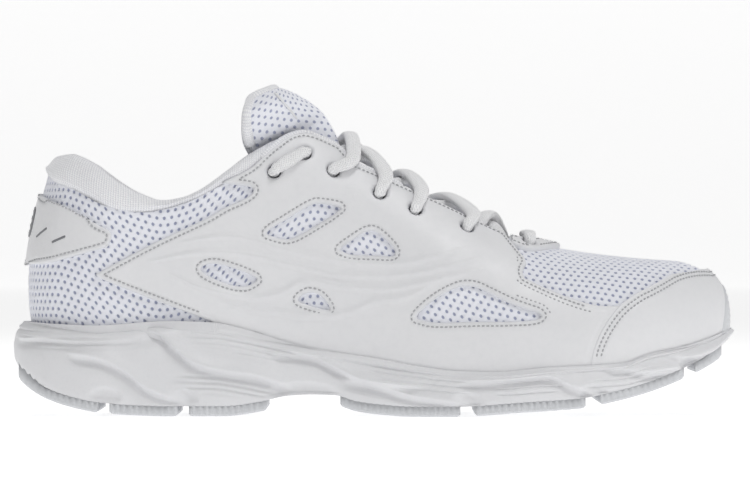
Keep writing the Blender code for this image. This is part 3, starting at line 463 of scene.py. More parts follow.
# Making pieces
def new_piece(name, verts, faces, finish, nodes=(), body="shoe", cloth=None, flip=False):
    """A smooth mesh piece from points in millimetres, riding on a body."""
    mesh = bpy.data.meshes.new(name)
    verts = np.asarray(verts, float) * MM
    faces = [tuple(int(i) for i in face) for face in faces]
    if flip:
        faces = [face[::-1] for face in faces]
    mesh.from_pydata(verts.tolist(), [], faces)
    mesh.validate()
    mesh.shade_smooth()
    if cloth is not None:
        layer = mesh.attributes.new("cloth", "FLOAT_VECTOR", "POINT")
        layer.data.foreach_set("vector", np.ascontiguousarray(cloth, np.float32).ravel())
    mesh.materials.append(finish)
    obj = bpy.data.objects.new(name, mesh)
    bpy.context.scene.collection.objects.link(obj)
    if nodes:
        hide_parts(*nodes)
    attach(obj, body)
    return obj


def grid_faces(rows, columns, closed_rows=False, closed_columns=False):
    """Quads over a grid of points, row after row."""
    i = np.arange(rows if closed_rows else rows - 1)[:, None]
    j = np.arange(columns if closed_columns else columns - 1)[None, :]
    i1 = (i + 1) % rows
    j1 = (j + 1) % columns
    corners = [i * columns + j, i * columns + j1, i1 * columns + j1, i1 * columns + j]
    return np.stack(corners, -1).reshape(-1, 4)


def capped_tube(rows, columns):
    """Quads round a tube of rows, and a face over each end."""
    faces = grid_faces(rows, columns, closed_columns=True).tolist()
    last = (rows - 1) * columns
    return faces + [tuple(range(columns))[::-1], tuple(last + j for j in range(columns))]


def lengths_round(verts):
    """The length round each row of points, from its first point."""
    steps = np.linalg.norm(np.diff(verts, axis=1), axis=2)
    return np.concatenate([np.zeros((len(verts), 1)), np.cumsum(steps, 1)], 1)


def cloth_grid(run, round_it):
    """Weave places for a grid of points, all of them far from an edge."""
    run = np.broadcast_to(run[:, None], round_it.shape)
    return np.stack([run, round_it, np.ones_like(round_it)], -1).reshape(-1, 3)


def soften(piece):
    """A smooth padded surface, from one level of subdivision."""
    smoother = piece.modifiers.new("Soft", "SUBSURF")
    smoother.levels = 1
    smoother.render_levels = 1


def catmull_rom(a, b, c, d, k):
    """The point at k between b and c."""
    return 0.5 * (2 * b + (c - a) * k + (2 * a - 5 * b + 4 * c - d) * k * k
                  + (3 * b - a - 3 * c + d) * k ** 3)


def curve_through(points, spacing, closed=True):
    """A smooth line through points of any dimension, resampled at a regular spacing."""
    p = np.asarray(points, float)
    before, after = ([p[-1]], [p[0], p[1]]) if closed else ([2 * p[0] - p[1]], [2 * p[-1] - p[-2]])
    p = np.vstack([*before, p, *after])
    made = []
    for a, b, c, d in zip(p, p[1:], p[2:], p[3:]):
        count = max(2, int(np.linalg.norm(c - b) / spacing))
        made += [catmull_rom(a, b, c, d, j / count) for j in range(count)]
    if not closed:
        made.append(p[-2])
    return np.array(made)


# What a field holds away from every edge, and about how many millimetres one u and one t span
FAR_INSIDE = 40.0
MM_PER_U = 430
MM_PER_T = 96


def distance_to(points, line, closed=True):
    """Distance from each point to a line of points, in any dimension up to 3."""
    if line.shape[1] == 2:
        line = np.column_stack([line, np.zeros(len(line))])
        points = np.column_stack([points, np.zeros(len(points))])
    tree = KDTree(len(line))
    for i, p in enumerate(line):
        tree.insert(p, i)
    tree.balance()
    near = np.array([tree.find(p)[1] for p in points.tolist()])
    best = np.full(len(points), 1e9)
    n = len(line)
    for shift in (-1, 0):
        i = near + shift
        if closed:
            a, b = line[i % n], line[(i + 1) % n]
        else:
            a, b = line[np.clip(i, 0, n - 2)], line[np.clip(i + 1, 1, n - 1)]
        ab = b - a
        k = np.clip(np.sum((points - a) * ab, 1) / np.maximum(np.sum(ab * ab, 1), 1e-9), 0, 1)
        best = np.minimum(best, np.linalg.norm(points - a - ab * k[:, None], axis=1))
    return best


def inside_loop(u, t, loop):
    """Which (u, t) lie inside a closed loop."""
    found = np.zeros(u.shape, bool)
    for (u0, t0), (u1, t1) in zip(loop, np.roll(loop, -1, axis=0)):
        if t0 == t1:
            continue
        crosses = (t0 > t) != (t1 > t)
        found ^= crosses & (u < (u1 - u0) * (t - t0) / (t1 - t0) + u0)
    return found


def signed_distance(u, t, points, loop, reach=None):
    """Millimetres inside a (u, t) loop, negative outside. Past reach the value is only a bound."""
    line = on_upper(loop[:, 0], loop[:, 1])
    flat = points.reshape(-1, 3)
    value = np.full(len(flat), FAR_INSIDE)
    close = np.ones(len(flat), bool)
    if reach is not None:
        low, high = line.min(0) - reach, line.max(0) + reach
        close = np.all((flat >= low) & (flat <= high), axis=1)
        value[:] = reach
    if close.any():
        value[close] = distance_to(flat[close], line)
    inside = inside_loop(u.ravel(), t.ravel(), loop)
    return np.where(inside, value, -value).reshape(u.shape)


class Patch:
    """A grid over part of the upper, with a field that is positive where the piece is."""

    def __init__(self, u_range, t_range, step, side=1):
        columns = int((u_range[1] - u_range[0]) * MM_PER_U / step) + 2
        rows = int((t_range[1] - t_range[0]) * MM_PER_T / step) + 2
        us = np.linspace(*u_range, columns) * side
        self.u, self.t = np.meshgrid(us, np.linspace(*t_range, rows), indexing="ij")
        self.points = point_on_upper(self.u, self.t)
        self.field = np.full(self.u.shape, FAR_INSIDE)

    def crossing_place(self, a, b, level):
        """(u, t) where the field has the level, between two grid points."""
        k = (level - self.field[a]) / (self.field[b] - self.field[a])
        return self.u[a] + k * (self.u[b] - self.u[a]), self.t[a] + k * (self.t[b] - self.t[a])

    def clipped(self):
        """(u, t, field) of the vertices and the faces where the field is positive."""
        inside = self.field > 0
        ids = np.full(inside.shape, -1)
        ids[inside] = np.arange(inside.sum())
        data = [np.stack([self.u[inside], self.t[inside], self.field[inside]], -1)]
        corners = np.stack([inside[:-1, :-1], inside[1:, :-1], inside[1:, 1:], inside[:-1, 1:]], -1)
        full = corners.all(-1)
        quads = np.stack([ids[:-1, :-1], ids[1:, :-1], ids[1:, 1:], ids[:-1, 1:]], -1)[full]
        faces = [tuple(q) for q in quads.tolist()]
        made, cache = [], {}
        count = int(inside.sum())
        for i, j in np.argwhere(corners.any(-1) & ~full).tolist():
            ring = [(i, j), (i + 1, j), (i + 1, j + 1), (i, j + 1)]
            face = []
            for a, b in zip(ring, ring[1:] + ring[:1]):
                if inside[a]:
                    face.append(int(ids[a]))
                if inside[a] != inside[b]:
                    key = (min(a, b), max(a, b))
                    if key not in cache:
                        cache[key] = count + len(made)
                        made.append((*self.crossing_place(a, b, 0.0), 0.0))
                    face.append(cache[key])
            if len(face) >= 3:
                faces.append(tuple(face))
        if made:
            data.append(np.array(made))
        return np.concatenate(data), faces

    def contour(self, level):
        """The lines in (u, t) where the field has the level, each a list of points."""
        above = self.field > level
        links, places = {}, {}
        mixed = np.stack([above[:-1, :-1], above[1:, :-1], above[1:, 1:], above[:-1, 1:]], -1)
        for i, j in np.argwhere(mixed.any(-1) & ~mixed.all(-1)).tolist():
            ring = [(i, j), (i + 1, j), (i + 1, j + 1), (i, j + 1)]
            keys = []
            for a, b in zip(ring, ring[1:] + ring[:1]):
                if above[a] != above[b]:
                    key = (min(a, b), max(a, b))
                    places[key] = self.crossing_place(a, b, level)
                    keys.append(key)
            for a, b in zip(keys[::2], keys[1::2]):
                links.setdefault(a, []).append(b)
                links.setdefault(b, []).append(a)
        lines, used = [], set()
        for start in sorted(links, key=lambda k: len(links[k])):
            if start in used:
                continue
            line, here = [start], start
            used.add(start)
            while True:
                following = [k for k in links[here] if k not in used]
                if not following:
                    break
                here = following[0]
                used.add(here)
                line.append(here)
            if len(line) > 3:
                if len(line) > 8 and line[0] in links[line[-1]]:
                    line.append(line[0])
                lines.append(np.array([places[k] for k in line]))
        return lines


def skin(name, patch, height, finish, slot, nodes=(), depth=-0.3, thickness=0.0):
    """The piece where the patch's field is positive: its face at height, its edge turned to depth."""
    data, faces = patch.clipped()
    u, t, field = data.T
    points = point_on_upper(u, t)
    along, round_it = cloth_place(u, t, points)
    rise = height(field, points, along, round_it)
    verts = on_upper(u, t, rise)
    cloth = np.stack([along, round_it, field], -1)
    open_edges = {}
    for face in faces:
        for a, b in zip(face, face[1:] + face[:1]):
            if (b, a) in open_edges:
                del open_edges[(b, a)]
            else:
                open_edges[(a, b)] = True
    rim = sorted({i for edge in open_edges for i in edge})
    lowered = {old: len(verts) + k for k, old in enumerate(rim)}
    low = on_upper(u[rim], t[rim], np.full(len(rim), depth))
    skirt = [(b, a, lowered[a], lowered[b]) for a, b in open_edges]
    verts = np.concatenate([verts, low])
    cloth = np.concatenate([cloth, cloth[rim]])
    turned = patch.u[1, 0] < patch.u[0, 0]
    obj = new_piece(name, verts, faces + skirt, finish, nodes, cloth=cloth, flip=turned)
    if thickness:
        thicken = obj.modifiers.new("Thickness", "SOLIDIFY")
        thicken.thickness = thickness * MM
        thicken.offset = -1


def rolled(field, top, edge=0.8, width=1.1):
    """The height of a folded or skived edge that rises from edge to top over width."""
    k = np.clip(field / width, 0, 1)
    return edge + (top - edge) * np.sqrt(1 - (1 - k) ** 2)


def stitch_groove(field, rows):
    """The shallow channel that each row of stitches pulls into the piece."""
    return sum(-0.3 * np.exp(-((field - row) / 0.55) ** 2) for row in rows)


STITCH_PITCH = 1.9
STITCH_HALF_LENGTH = 0.66
STITCH_HALF_WIDTH = 0.34
STITCH_HALF_HEIGHT = 0.3
stitch_places = []


def sew(patch, level, height, allowed=None):
    """Stitches along the patch's contour at level, where allowed(points) says so."""
    for line in patch.contour(level):
        points = on_upper(line[:, 0], line[:, 1], np.full(len(line), height))
        sew_line(points, normal_on_upper(line[:, 0], line[:, 1]), allowed)


def sew_line(points, normals, allowed):
    lengths = lengths_along(points)
    count = int(lengths[-1] / STITCH_PITCH)
    if count < 2:
        return

    def sampled(values, places):
        return np.stack([np.interp(places, lengths, column) for column in values.T], -1)

    at = (np.arange(count) + 0.5) * lengths[-1] / count
    centre = sampled(points, at)
    normal = unit(sampled(normals, at))
    ahead = sampled(points, at + 0.7) - sampled(points, at - 0.7)
    keep = np.ones(count, bool) if allowed is None else allowed(centre)
    stitch_places.append(np.stack([centre, unit(ahead), normal], 1)[keep])


def make_stitches():
    """All stitches as one mesh of short sunk threads."""
    places = np.concatenate(stitch_places)
    sides = 6
    profile = ((-1, 0.35), (-0.6, 0.9), (0, 1.0), (0.6, 0.9), (1, 0.35))
    template = []
    for s, r in profile:
        for a in np.linspace(0, TURN, sides, endpoint=False):
            lift = STITCH_HALF_HEIGHT * r * math.sin(a) + 0.04 - 0.30 * s * s
            template.append((s * STITCH_HALF_LENGTH, STITCH_HALF_WIDTH * r * math.cos(a), lift))
    template = np.array(template)[None]
    centre, along, normal = places[:, 0], places[:, 1], places[:, 2]
    across = unit(np.cross(normal, along))
    verts = (centre[:, None] + along[:, None] * template[..., :1] + across[:, None] * template[..., 1:2]
             + normal[:, None] * template[..., 2:])
    one = capped_tube(len(profile), sides)
    faces = []
    for start in range(0, len(places) * template.shape[1], template.shape[1]):
        faces += [tuple(i + start for i in face) for face in one]
    new_piece("upper_stitching", verts.reshape(-1, 3), faces, STITCH_THREAD_AND_SHADE, flip=True)


# Outlines seen from the lateral side, (x, z) in millimetres
COLLAR_SEAM = [(-142, 101.5), (-135.8, 99.9), (-124.7, 94.5), (-109.7, 87), (-94.7, 84.5), (-86.8, 85.6),
               (-78.2, 88.1), (-62.9, 95.6), (-51.3, 101.4), (-42.8, 108.8), (-35.4, 114.1), (-29.5, 115.7)]
THROAT_TOP = [(-23.2, 113.8), (-15.2, 109.8), (-8, 105.6)]
THROAT_GAP = 15.5
THROAT_ROUND_X = 50.0
THROAT_BASE_X = 66.0
EYELETS = [(-41.2, 100.1), (-28.8, 107.5), (-17.1, 100.3), (2.0, 91.0), (16.7, 84.2), (37.6, 76.6)]
BASE_EYELET = (63.2, 15.2)
EYELET_RADIUS = 2.9
WINDOWS = [
    [(-44, 75.4), (-35.4, 81), (-26.1, 86.4), (-22.1, 87), (-14.2, 85.4), (-16.2, 83), (-23.4, 78.4),
     (-31.4, 73.8), (-36, 72.5), (-41.3, 73.5)],
    [(-13.9, 68.5), (-6.3, 73.8), (-2.3, 75.7), (1, 75.1), (5.6, 71.1), (8.3, 67.8), (7.6, 65.5),
     (0.4, 65.7), (-9.5, 66.2), (-12.9, 67.5)],
    [(-71.1, 60.5), (-68.4, 62.2), (-63.8, 62.2), (-55.9, 59.9), (-48.6, 56.6), (-49.3, 54.9),
     (-53.2, 53.2), (-59.2, 53.9), (-68.4, 57.6)],
    [(-31.1, 47.3), (-29.4, 49.6), (-26.1, 50.6), (-22.1, 49.3), (-19.5, 46.6), (-18.2, 44), (-20.1, 43.7),
     (-26.1, 45.3)],
    [(17.3, 40.8), (21.5, 45.3), (27.8, 49.8), (34.2, 52.7), (37.9, 53.2), (42.2, 52.5), (49.5, 49),
     (57.5, 45.3), (67, 41.9), (67.3, 40), (62.8, 39), (52.2, 38.7), (41.6, 38.7), (25.7, 38.4),
     (19.4, 39.5)],
]
OVERLAY_REAR = [(-66.8, 38.8), (-84, 45.2), (-98.2, 50.6), (-111.1, 55.9), (-113.6, 57.6), (-112.4, 59.2),
                (-91.1, 70.6), (-69.7, 80.6), (-61.8, 85.2), (-53.9, 88.7), (-49.9, 91.6), (-50.6, 93.8),
                (-56.5, 94.8), (-61.5, 95.2)]
OVERLAY_FRONT = [(53.8, 72.8), (60.1, 65.4), (62.1, 62.4), (60.6, 59.1), (61, 56.6), (63.3, 54.9),
                 (77, 49), (89.6, 45.2), (98.2, 44.8)]
TOE_CAP_EDGE = [(87.2, 20.5), (88.4, 26.9), (90.8, 33), (94.5, 39.1), (99.4, 44.6), (106.7, 49.5),
                (112.8, 52.5), (121.3, 56.8)]
HEEL_OVERLAY = [(-112.5, 78), (-108.8, 76.2), (-107.7, 73.9), (-108.9, 70.2), (-112, 68.6), (-131.8, 63.1)]
LEATHER_TOP = 1.9
CAP_TOP = 2.15
LOW_T = -0.05
seam_vt = from_side(COLLAR_SEAM)
seam_t = smooth([(0.0, seam_vt[1, 1]), *[tuple(p) for p in seam_vt[1:]]])
top_z = smooth([*COLLAR_SEAM, *THROAT_TOP])


def throat_gap(x):
    """Half the width of the throat's opening at x."""
    past = np.clip((np.asarray(x, float) - THROAT_ROUND_X) / (THROAT_BASE_X - THROAT_ROUND_X), 0, 1)
    return THROAT_GAP * np.sqrt(1 - past * past)


def beside_throat(x, extra, side=1):
    """The (u, t) at x, extra millimetres back from the throat's opening."""
    return from_top(x, float(throat_gap(x)) + extra, side)


def eyelet_place(i, side):
    """(u, t) of eyelet i, the base eyelet being the last."""
    if i == len(EYELETS):
        return from_top(*BASE_EYELET, side)
    v, t = from_side([EYELETS[i]])[0]
    return side * v, t


def from_nearest(points, centres):
    """The distance from each point to the nearest of the centres."""
    return np.min([np.linalg.norm(points - centre, axis=-1) for centre in centres], 0)


def cut_eyelets(patch, numbers, side):
    for i in numbers:
        away = from_nearest(patch.points, [point_on_upper(*eyelet_place(i, side))])
        patch.field = np.minimum(patch.field, away - EYELET_RADIUS)


def loop_from(parts):
    """A closed (v, t) loop from side-view lists, which are smoothed, and ready (v, t) lists."""
    made = []
    for part, is_side in parts:
        if is_side:
            made += [tuple(p) for p in from_side(curve_through(part, 1.2, closed=False))]
        else:
            made += [tuple(p) for p in part]
    return np.array(made)


# The mesh fabric under everything
def pore_depth(along, round_it):
    """0 on the threads and 1 in the middle of each staggered pore."""
    pores = 2 * np.cos(TURN * along / PORE_X) * np.cos(TURN * round_it / PORE_Y)
    dip = np.clip((pores + np.cos(2 * TURN * round_it / PORE_Y) - 0.6) / 1.6, 0, 1)
    return dip * dip * (3 - 2 * dip)


def fabric_height(field, points, along, round_it):
    """Flat threads with staggered pores, and a little fullness between the overlays."""
    swell = 0.2 * np.sin(along / 11.0) * np.sin(round_it / 9.0)
    return swell - 0.5 * pore_depth(along, round_it)


MESH_STEP = 0.72
MESH_LOW = -1.5
MESH_THICKNESS = 1.6
VAMP_SPLIT = 12.0


def throat_field(points):
    """Positive outside the throat's opening, by the distance that the mesh keeps back from it."""
    x, y, z = points[..., 0], points[..., 1], points[..., 2]
    beside = np.abs(y - centre_y(x)) - throat_gap(x) - 1.2
    low = z < ridge_height(x) - 26
    opening = np.where(low | (x > THROAT_BASE_X), FAR_INSIDE, beside)
    return np.where(x < -11.5, top_z(x) - 0.9 - z, opening)


def mesh_skin(name, patch, node):
    skin(name, patch, fabric_height, MESH, "mesh", [node], MESH_LOW, MESH_THICKNESS)


def make_quarter(side, name):
    patch = Patch((0.0, at_x(VAMP_SPLIT + 6)), (LOW_T, 1.0), MESH_STEP, side)
    rise = 95.0 * (seam_t(np.abs(patch.u)) - patch.t)
    collar = np.where(np.abs(patch.u) < at_x(-29.5), rise + 0.5, FAR_INSIDE)
    patch.field = np.minimum(VAMP_SPLIT - patch.points[..., 0], collar)
    patch.field = np.minimum(patch.field, throat_field(patch.points))
    cut_eyelets(patch, range(4), side)
    mesh_skin(f"{name}_quarter_fabric", patch, f"{name}_quarter_mesh")


def make_vamp():
    split = at_x(VAMP_SPLIT - 4)
    patch = Patch((split, 2 - split), (LOW_T, 1.0), MESH_STEP)
    patch.field = np.minimum(patch.points[..., 0] - VAMP_SPLIT, throat_field(patch.points))
    cut_eyelets(patch, (4, 5, 6), 1)
    cut_eyelets(patch, (4, 5, 6), -1)
    mesh_skin("vamp_fabric", patch, "vamp_mesh")


# The embossed welts on the leather, each a line and a height, follow the sole's waves
CONTOURS = [
    ([(-93, 63), (-74, 66.5), (-55, 66.5), (-34, 62), (-12, 57.5), (12, 57.5), (30, 60.5), (44, 64)], 0.5),
    ([(-84, 58.5), (-70, 52.5), (-50, 48.5), (-38, 50.5), (-28, 55), (-12, 53), (8, 52), (26, 55.5),
      (46, 60)], 0.5),
    ([(-64, 47), (-50, 43.5), (-38, 42.5), (-28, 41), (-12, 42), (0, 46.5), (14, 49), (30, 57)], 0.45),
    ([(-80, 71), (-62, 73.5), (-49, 72), (-38, 68.5), (-20, 64.5), (-6, 62.5), (10, 62), (27, 65),
      (38, 68)], 0.45),
]


def contour_relief(points):
    """A raised welt along each contour line, fading out at its ends."""
    x, z = points[:, 0], points[:, 2]
    relief = np.zeros(len(points))
    close = (x > -100) & (x < 60) & (z > 30) & (z < 82)
    flat = np.stack([x, z], -1)[close]
    for line, height in CONTOURS:
        dense = curve_through(line, 0.8, closed=False)
        d = distance_to(flat, dense, closed=False)
        ends = np.clip(np.minimum(flat[:, 0] - line[0][0], line[-1][0] - flat[:, 0]) / 22.0, 0, 1)
        relief[close] += 2.0 * height * np.exp(-((d / (0.4 + 0.75 * ends)) ** 2)) * np.sqrt(ends)
    return relief


STITCH_ROW = 1.9
SECOND_ROW = 3.7
OVERLAY_STEP = 0.85


def make_overlay(side, name):
    outline = [(OVERLAY_REAR, True), (COLLAR_SEAM[7:], True), (THROAT_TOP[:2], True),
               ([beside_throat(x, 0.2) for x in np.linspace(-8.0, 52.0, 30)], False), (OVERLAY_FRONT, True),
               ([(x + 1.2, z) for x, z in TOE_CAP_EDGE[4::-1]], True),
               ([(at_x(90.0), LOW_T - 0.01), (at_x(-66.8), LOW_T - 0.01)], False)]
    loop = loop_from(outline)
    holes = [from_side(curve_through(w, 0.8)) for w in WINDOWS]
    patch = Patch((at_x(-118), at_x(104)), (LOW_T, 1.0), OVERLAY_STEP, side)
    turned = np.array([side, 1.0])
    patch.field = signed_distance(patch.u, patch.t, patch.points, loop * turned)
    for hole in holes:
        outside = -signed_distance(patch.u, patch.t, patch.points, hole * turned, 9.0)
        patch.field = np.minimum(patch.field, outside)
    cut_eyelets(patch, range(len(EYELETS)), side)
    eyes = [point_on_upper(*eyelet_place(i, side)) for i in range(len(EYELETS))]

    def height(field, points, along, round_it):
        clear = from_nearest(points, eyes) > EYELET_RADIUS + 3.0
        groove = stitch_groove(field, [STITCH_ROW]) * clear
        crease = 0.12 * np.sin(along / 7.5 + round_it / 5.0) * np.sin(round_it / 8.0)
        crease = crease * np.clip(field / 6, 0, 1)
        return rolled(field, LEATHER_TOP) + groove + contour_relief(points) + crease

    skin(f"{name}_overlay_leather", patch, height, LEATHER, "leather", [f"{name}_overlay"])

    def allowed(p):
        clear = from_nearest(p, eyes) > EYELET_RADIUS + 2.6
        above = p[:, 2] > rim_height(p[:, 0]) + 3.5
        return above & clear & ((p[:, 0] < 86) | (p[:, 2] > 45.5))

    def by_the_vamp(p):
        return (p[:, 0] > 58) & (p[:, 0] < 88) & (p[:, 2] > 42) & (p[:, 2] < 66)

    sew(patch, STITCH_ROW, LEATHER_TOP, allowed)
    sew(patch, SECOND_ROW, LEATHER_TOP, by_the_vamp)


def make_toe_cap():
    edge = from_side(curve_through(TOE_CAP_EDGE, 1.0, closed=False))
    low = [(at_x(86.5), LOW_T - 0.01)]
    tip = [(0.955, 0.6), (0.985, 0.602), (1.0, 0.602)]
    lateral = np.array(low + [tuple(p) for p in edge] + tip)
    loop = np.concatenate([lateral, (lateral * (-1, 1) + (2, 0))[::-1]])
    patch = Patch((at_x(84), 2 - at_x(84)), (LOW_T, 0.8), OVERLAY_STEP)
    patch.field = signed_distance(patch.u, patch.t, patch.points, loop)
    rows = (2.2, 4.0)

    def height(field, points, along, round_it):
        return rolled(field, CAP_TOP, 0.9) + stitch_groove(field, rows)

    skin("toe_cap_leather", patch, height, LEATHER, "leather", ["toe_cap"])
    for row in rows:
        sew(patch, row, 2.1, lambda p: p[:, 2] > rim_height(p[:, 0]) + 3.0)


def make_toe_bumper():
    half = [(0.93, 0.0), (0.945, 0.16), (0.972, 0.33), (1.0, 0.4)]
    loop = curve_through(half + [(2 - u, t) for u, t in half[-2::-1]], 0.004, closed=False)
    patch = Patch((0.9, 1.1), (-0.02, 0.5), 0.6)
    patch.field = signed_distance(patch.u, patch.t, patch.points, loop)

    def height(field, points, along, round_it):
        ribs = 0.08 * np.cos(TURN * points[:, 2] / 2.4) * np.clip((field - 1.6) / 1.0, 0, 1)
        return rolled(field, 2.7, 1.9, 1.6) + ribs

    skin("toe_bumper_rubber", patch, height, RUBBER, "rubber", ["toe_bumper"], depth=1.6)


def make_throat_overlay():
    """The rounded U that ends the throat, in two halves that meet along the ridge."""
    inner = np.array([beside_throat(x, -0.2) for x in np.linspace(56.0, THROAT_BASE_X, 14)])
    outer = ((77.2, 0.4), (76.2, 6), (73.6, 11), (70, 16), (66, 20.0), (61.5, 22.2), (56, 22.0))
    outer = curve_through([from_top(x, y) for x, y in outer], 0.004, closed=False)
    ridge = [(at_x(THROAT_BASE_X - 0.2), 1.0), (at_x(77.4), 1.0)]
    outline = np.concatenate([inner, ridge, outer])

    def height(field, points, along, round_it):
        return rolled(field, CAP_TOP, 0.8) + stitch_groove(field, [STITCH_ROW])

    for side, name, nodes in ((1, "lateral", ["throat_overlay"]), (-1, "medial", [])):
        half = Patch((at_x(50), at_x(80)), (0.5, 1.0), 0.7, side)
        turned = np.array([side, 1.0])
        inside = inside_loop(half.u, half.t, outline * turned)
        flat = half.points.reshape(-1, 3)
        lines = [on_upper(*(line * turned).T) for line in (outer, inner)]
        near = np.min([distance_to(flat, line, closed=False) for line in lines], 0).reshape(half.u.shape)
        half.field = np.where(inside, near, -near)
        cut_eyelets(half, [len(EYELETS)], side)
        eye = point_on_upper(*eyelet_place(len(EYELETS), side))
        skin(f"throat_overlay_leather_{name}", half, height, LEATHER, "leather", nodes)
        sew(half, STITCH_ROW, 2.1,
            lambda p: (from_nearest(p, [eye]) > EYELET_RADIUS + 2.4) & (p[:, 0] > 56.5))


def make_heel_pieces():
    upper = from_side(curve_through(HEEL_OVERLAY, 1.0, closed=False))
    top, low = from_side([(-135, 89.5)])[0], from_side([(-136, 62.4)])[0]
    lateral = np.array([(0.0, top[1] + 0.03), top, *upper, low, (0.0, low[1] - 0.01)])
    loop = np.concatenate([lateral, (lateral * (-1, 1))[::-1]])
    patch = Patch((-at_x(-100), at_x(-100)), (0.3, 0.95), 0.75)
    patch.field = signed_distance(patch.u, patch.t, patch.points, loop)

    def height(field, points, along, round_it):
        return rolled(field, LEATHER_TOP) + stitch_groove(field, [STITCH_ROW])

    skin("heel_overlay_leather", patch, height, LEATHER, "leather", ["heel_overlay"])
    sew(patch, STITCH_ROW, LEATHER_TOP)
    make_badge()
    for number, line in enumerate(HEEL_DASHES):
        make_dash(f"heel_dash_{number}_lateral", from_side(line), 1)
        make_dash(f"heel_dash_{number}_medial", from_side(line), -1)


def make_badge():
    """A plain ribbed tab on the heel."""
    badge = Patch((-0.04, 0.04), (0.35, 0.8), 0.35)
    middle = point_on_upper(0.0, 0.60)
    across = np.abs(badge.points[..., 1] - middle[1]) / 8.0
    along = np.abs(badge.points[..., 2] - middle[2]) / 6.4
    badge.field = 7.0 * (1 - (across ** 4 + along ** 4) ** 0.25)

    def badge_height(field, points, along, round_it):
        bars = 0.12 * np.cos(TURN * points[:, 2] / 3.0) * np.clip((field - 1.4) / 0.6, 0, 1)
        return rolled(field, 2.35, 1.8, 0.7) + bars

    skin("heel_badge_plain", badge, badge_height, BADGE, "badge", ["heel_badge"], depth=1.2)


HEEL_DASHES = ([(-137.6, 73.4), (-133.6, 76.6)], [(-131.0, 71.2), (-126.4, 73.4)])
DASH_HALF_WIDTH = 0.5


def make_dash(name, ends, side):
    """A short grey bar on the heel overlay, between two (v, t) places."""
    low, high = ends.min(0), ends.max(0)
    dash = Patch((low[0] - 0.02, high[0] + 0.02), (low[1] - 0.06, high[1] + 0.06), 0.3, side)
    line = on_upper(ends[:, 0] * side, ends[:, 1])
    away = distance_to(dash.points.reshape(-1, 3), line, closed=False)
    dash.field = (DASH_HALF_WIDTH - away).reshape(dash.u.shape)

    def height(field, points, along, round_it):
        return rolled(field, 2.15, 1.9, 0.3)

    skin(name, dash, height, BADGE, "badge", depth=1.4)


# Collar
collar_pad = smooth(
    [(-142.2, 11.0), (-120, 9.5), (-95, 8.0), (-70, 7.0), (-50, 5.0), (-38, 3.6), (-30, 2.6)])
collar_foot = smooth([(-142.2, 0.2), (-75, 0.22), (-62, 0.45), (-52, 0.86), (-38, 0.93)])
collar_lift = smooth([(-142.2, 5.0), (-120, 4.2), (-95, 3.2), (-70, 2.2), (-50, 1.6), (-38, 1.0)])


def make_collar(side, name):
    """The padded collar, a crowned roll above the seam with its lining running down inside."""
    rows = []
    count = 150
    for i in range(count + 1):
        v = at_x(-37.0) * i / count
        x = float(plan_point(v)[0])
        low = float(seam_t(v)) + 0.002
        pad = float(collar_pad(x))
        bottom = float(collar_foot(x)) * low
        depth = low - bottom
        u = side * v
        lift = np.array([0, 0, float(collar_lift(x))])
        full = min(1.0, pad / 8.0)
        middle = (low + 1) / 2
        ring = [
            on_upper(u, low - 0.01, 0.1),
            on_upper(u, low + 0.012, 0.9 * full + 0.5),
            on_upper(u, middle, 1.5 * full + 0.5),
            on_upper(u, 0.985, 0.9 * full),
            on_upper(u, 0.99, -pad * 0.16) + lift * 0.72,
            on_upper(u, 0.99, -pad * 0.5) + lift,
            on_upper(u, 0.985, -pad * 0.84) + lift * 0.66,
            on_upper(u, 0.96, -pad - 0.6),
            on_upper(u, middle - 0.03, -pad - 1.6),
            on_upper(u, low - 0.15 * depth, -pad - 0.9),
            on_upper(u, low - 0.55 * depth, -max(6.2, pad * 0.7)),
            on_upper(u, bottom, -5.8),
            on_upper(u, bottom, -4.6),
            on_upper(u, low - 0.55 * depth, -4.6),
            on_upper(u, low - 0.16 * depth, -4.6),
            on_upper(u, low - 0.10 * depth, -2.6),
        ]
        rows.append(np.array(ring))
    dense = []
    for number, row in enumerate(rows):
        taper = min(1.0, (count - number) / 22)
        core = row.mean(0) * 0.4 + row[1] * 0.6
        row = core + (row - core) * math.sqrt(max(0.02, 1 - (1 - taper) ** 2))
        p = np.vstack([row[-1], row, row[0], row[1]])
        corners = list(zip(p, p[1:], p[2:], p[3:]))
        dense.append([catmull_rom(*four, k) for four in corners for k in (0.0, 0.5)])
    verts = np.array(dense)
    cloth = cloth_grid(lengths_along(verts[:, 6]), lengths_round(verts))
    faces = capped_tube(*verts.shape[:2])
    piece = new_piece(f"collar_padding_{name}", verts.reshape(-1, 3), faces, KNIT,
                      [f"collar_{name}"], cloth=cloth, flip=side < 0)
    soften(piece)


# Footbed and sole
def make_footbed():
    """The sockliner: a soft layer with a rounded, slightly cupped edge."""
    cells, rings = 240, 26
    rows = []
    for i in range(cells):
        u = 2 * i / cells
        edge = on_upper(u, -0.05, -5.2)
        cx = float(spine_x(float(plan_point(u)[0])))
        cy = float(centre_y(cx))
        row = []
        for j in range(rings + 1):
            k = 1 - (1 - j / rings) ** 1.3
            x = cx + k * (edge[0] - cx)
            cup = 0.5 * max(0.0, (k - 0.75) / 0.25) ** 2 - 0.5 * max(0.0, (k - 0.965) / 0.035)
            row.append((x, cy + k * (edge[1] - cy), float(foot_height(x)) + 5.8 + cup))
        for k in (0.995, 0.0):
            x = cx + k * (edge[0] - cx)
            row.append((x, cy + k * (edge[1] - cy), float(foot_height(x)) + 2.25))
        rows.append(row)
    verts = np.array(rows)
    cloth = verts * (1, 1, 0) + (0, 0, 1)
    faces = grid_faces(cells, verts.shape[1], closed_rows=True)
    piece = new_piece("sockliner_knit", verts.reshape(-1, 3), faces, LINING, ["sockliner"],
                      "insole", cloth.reshape(-1, 3), flip=True)


PAD_THICKNESS = 3.3
PAD_GAP = 0.85
PAD_GROOVE = 2.5
PAD_INSET = 1.1
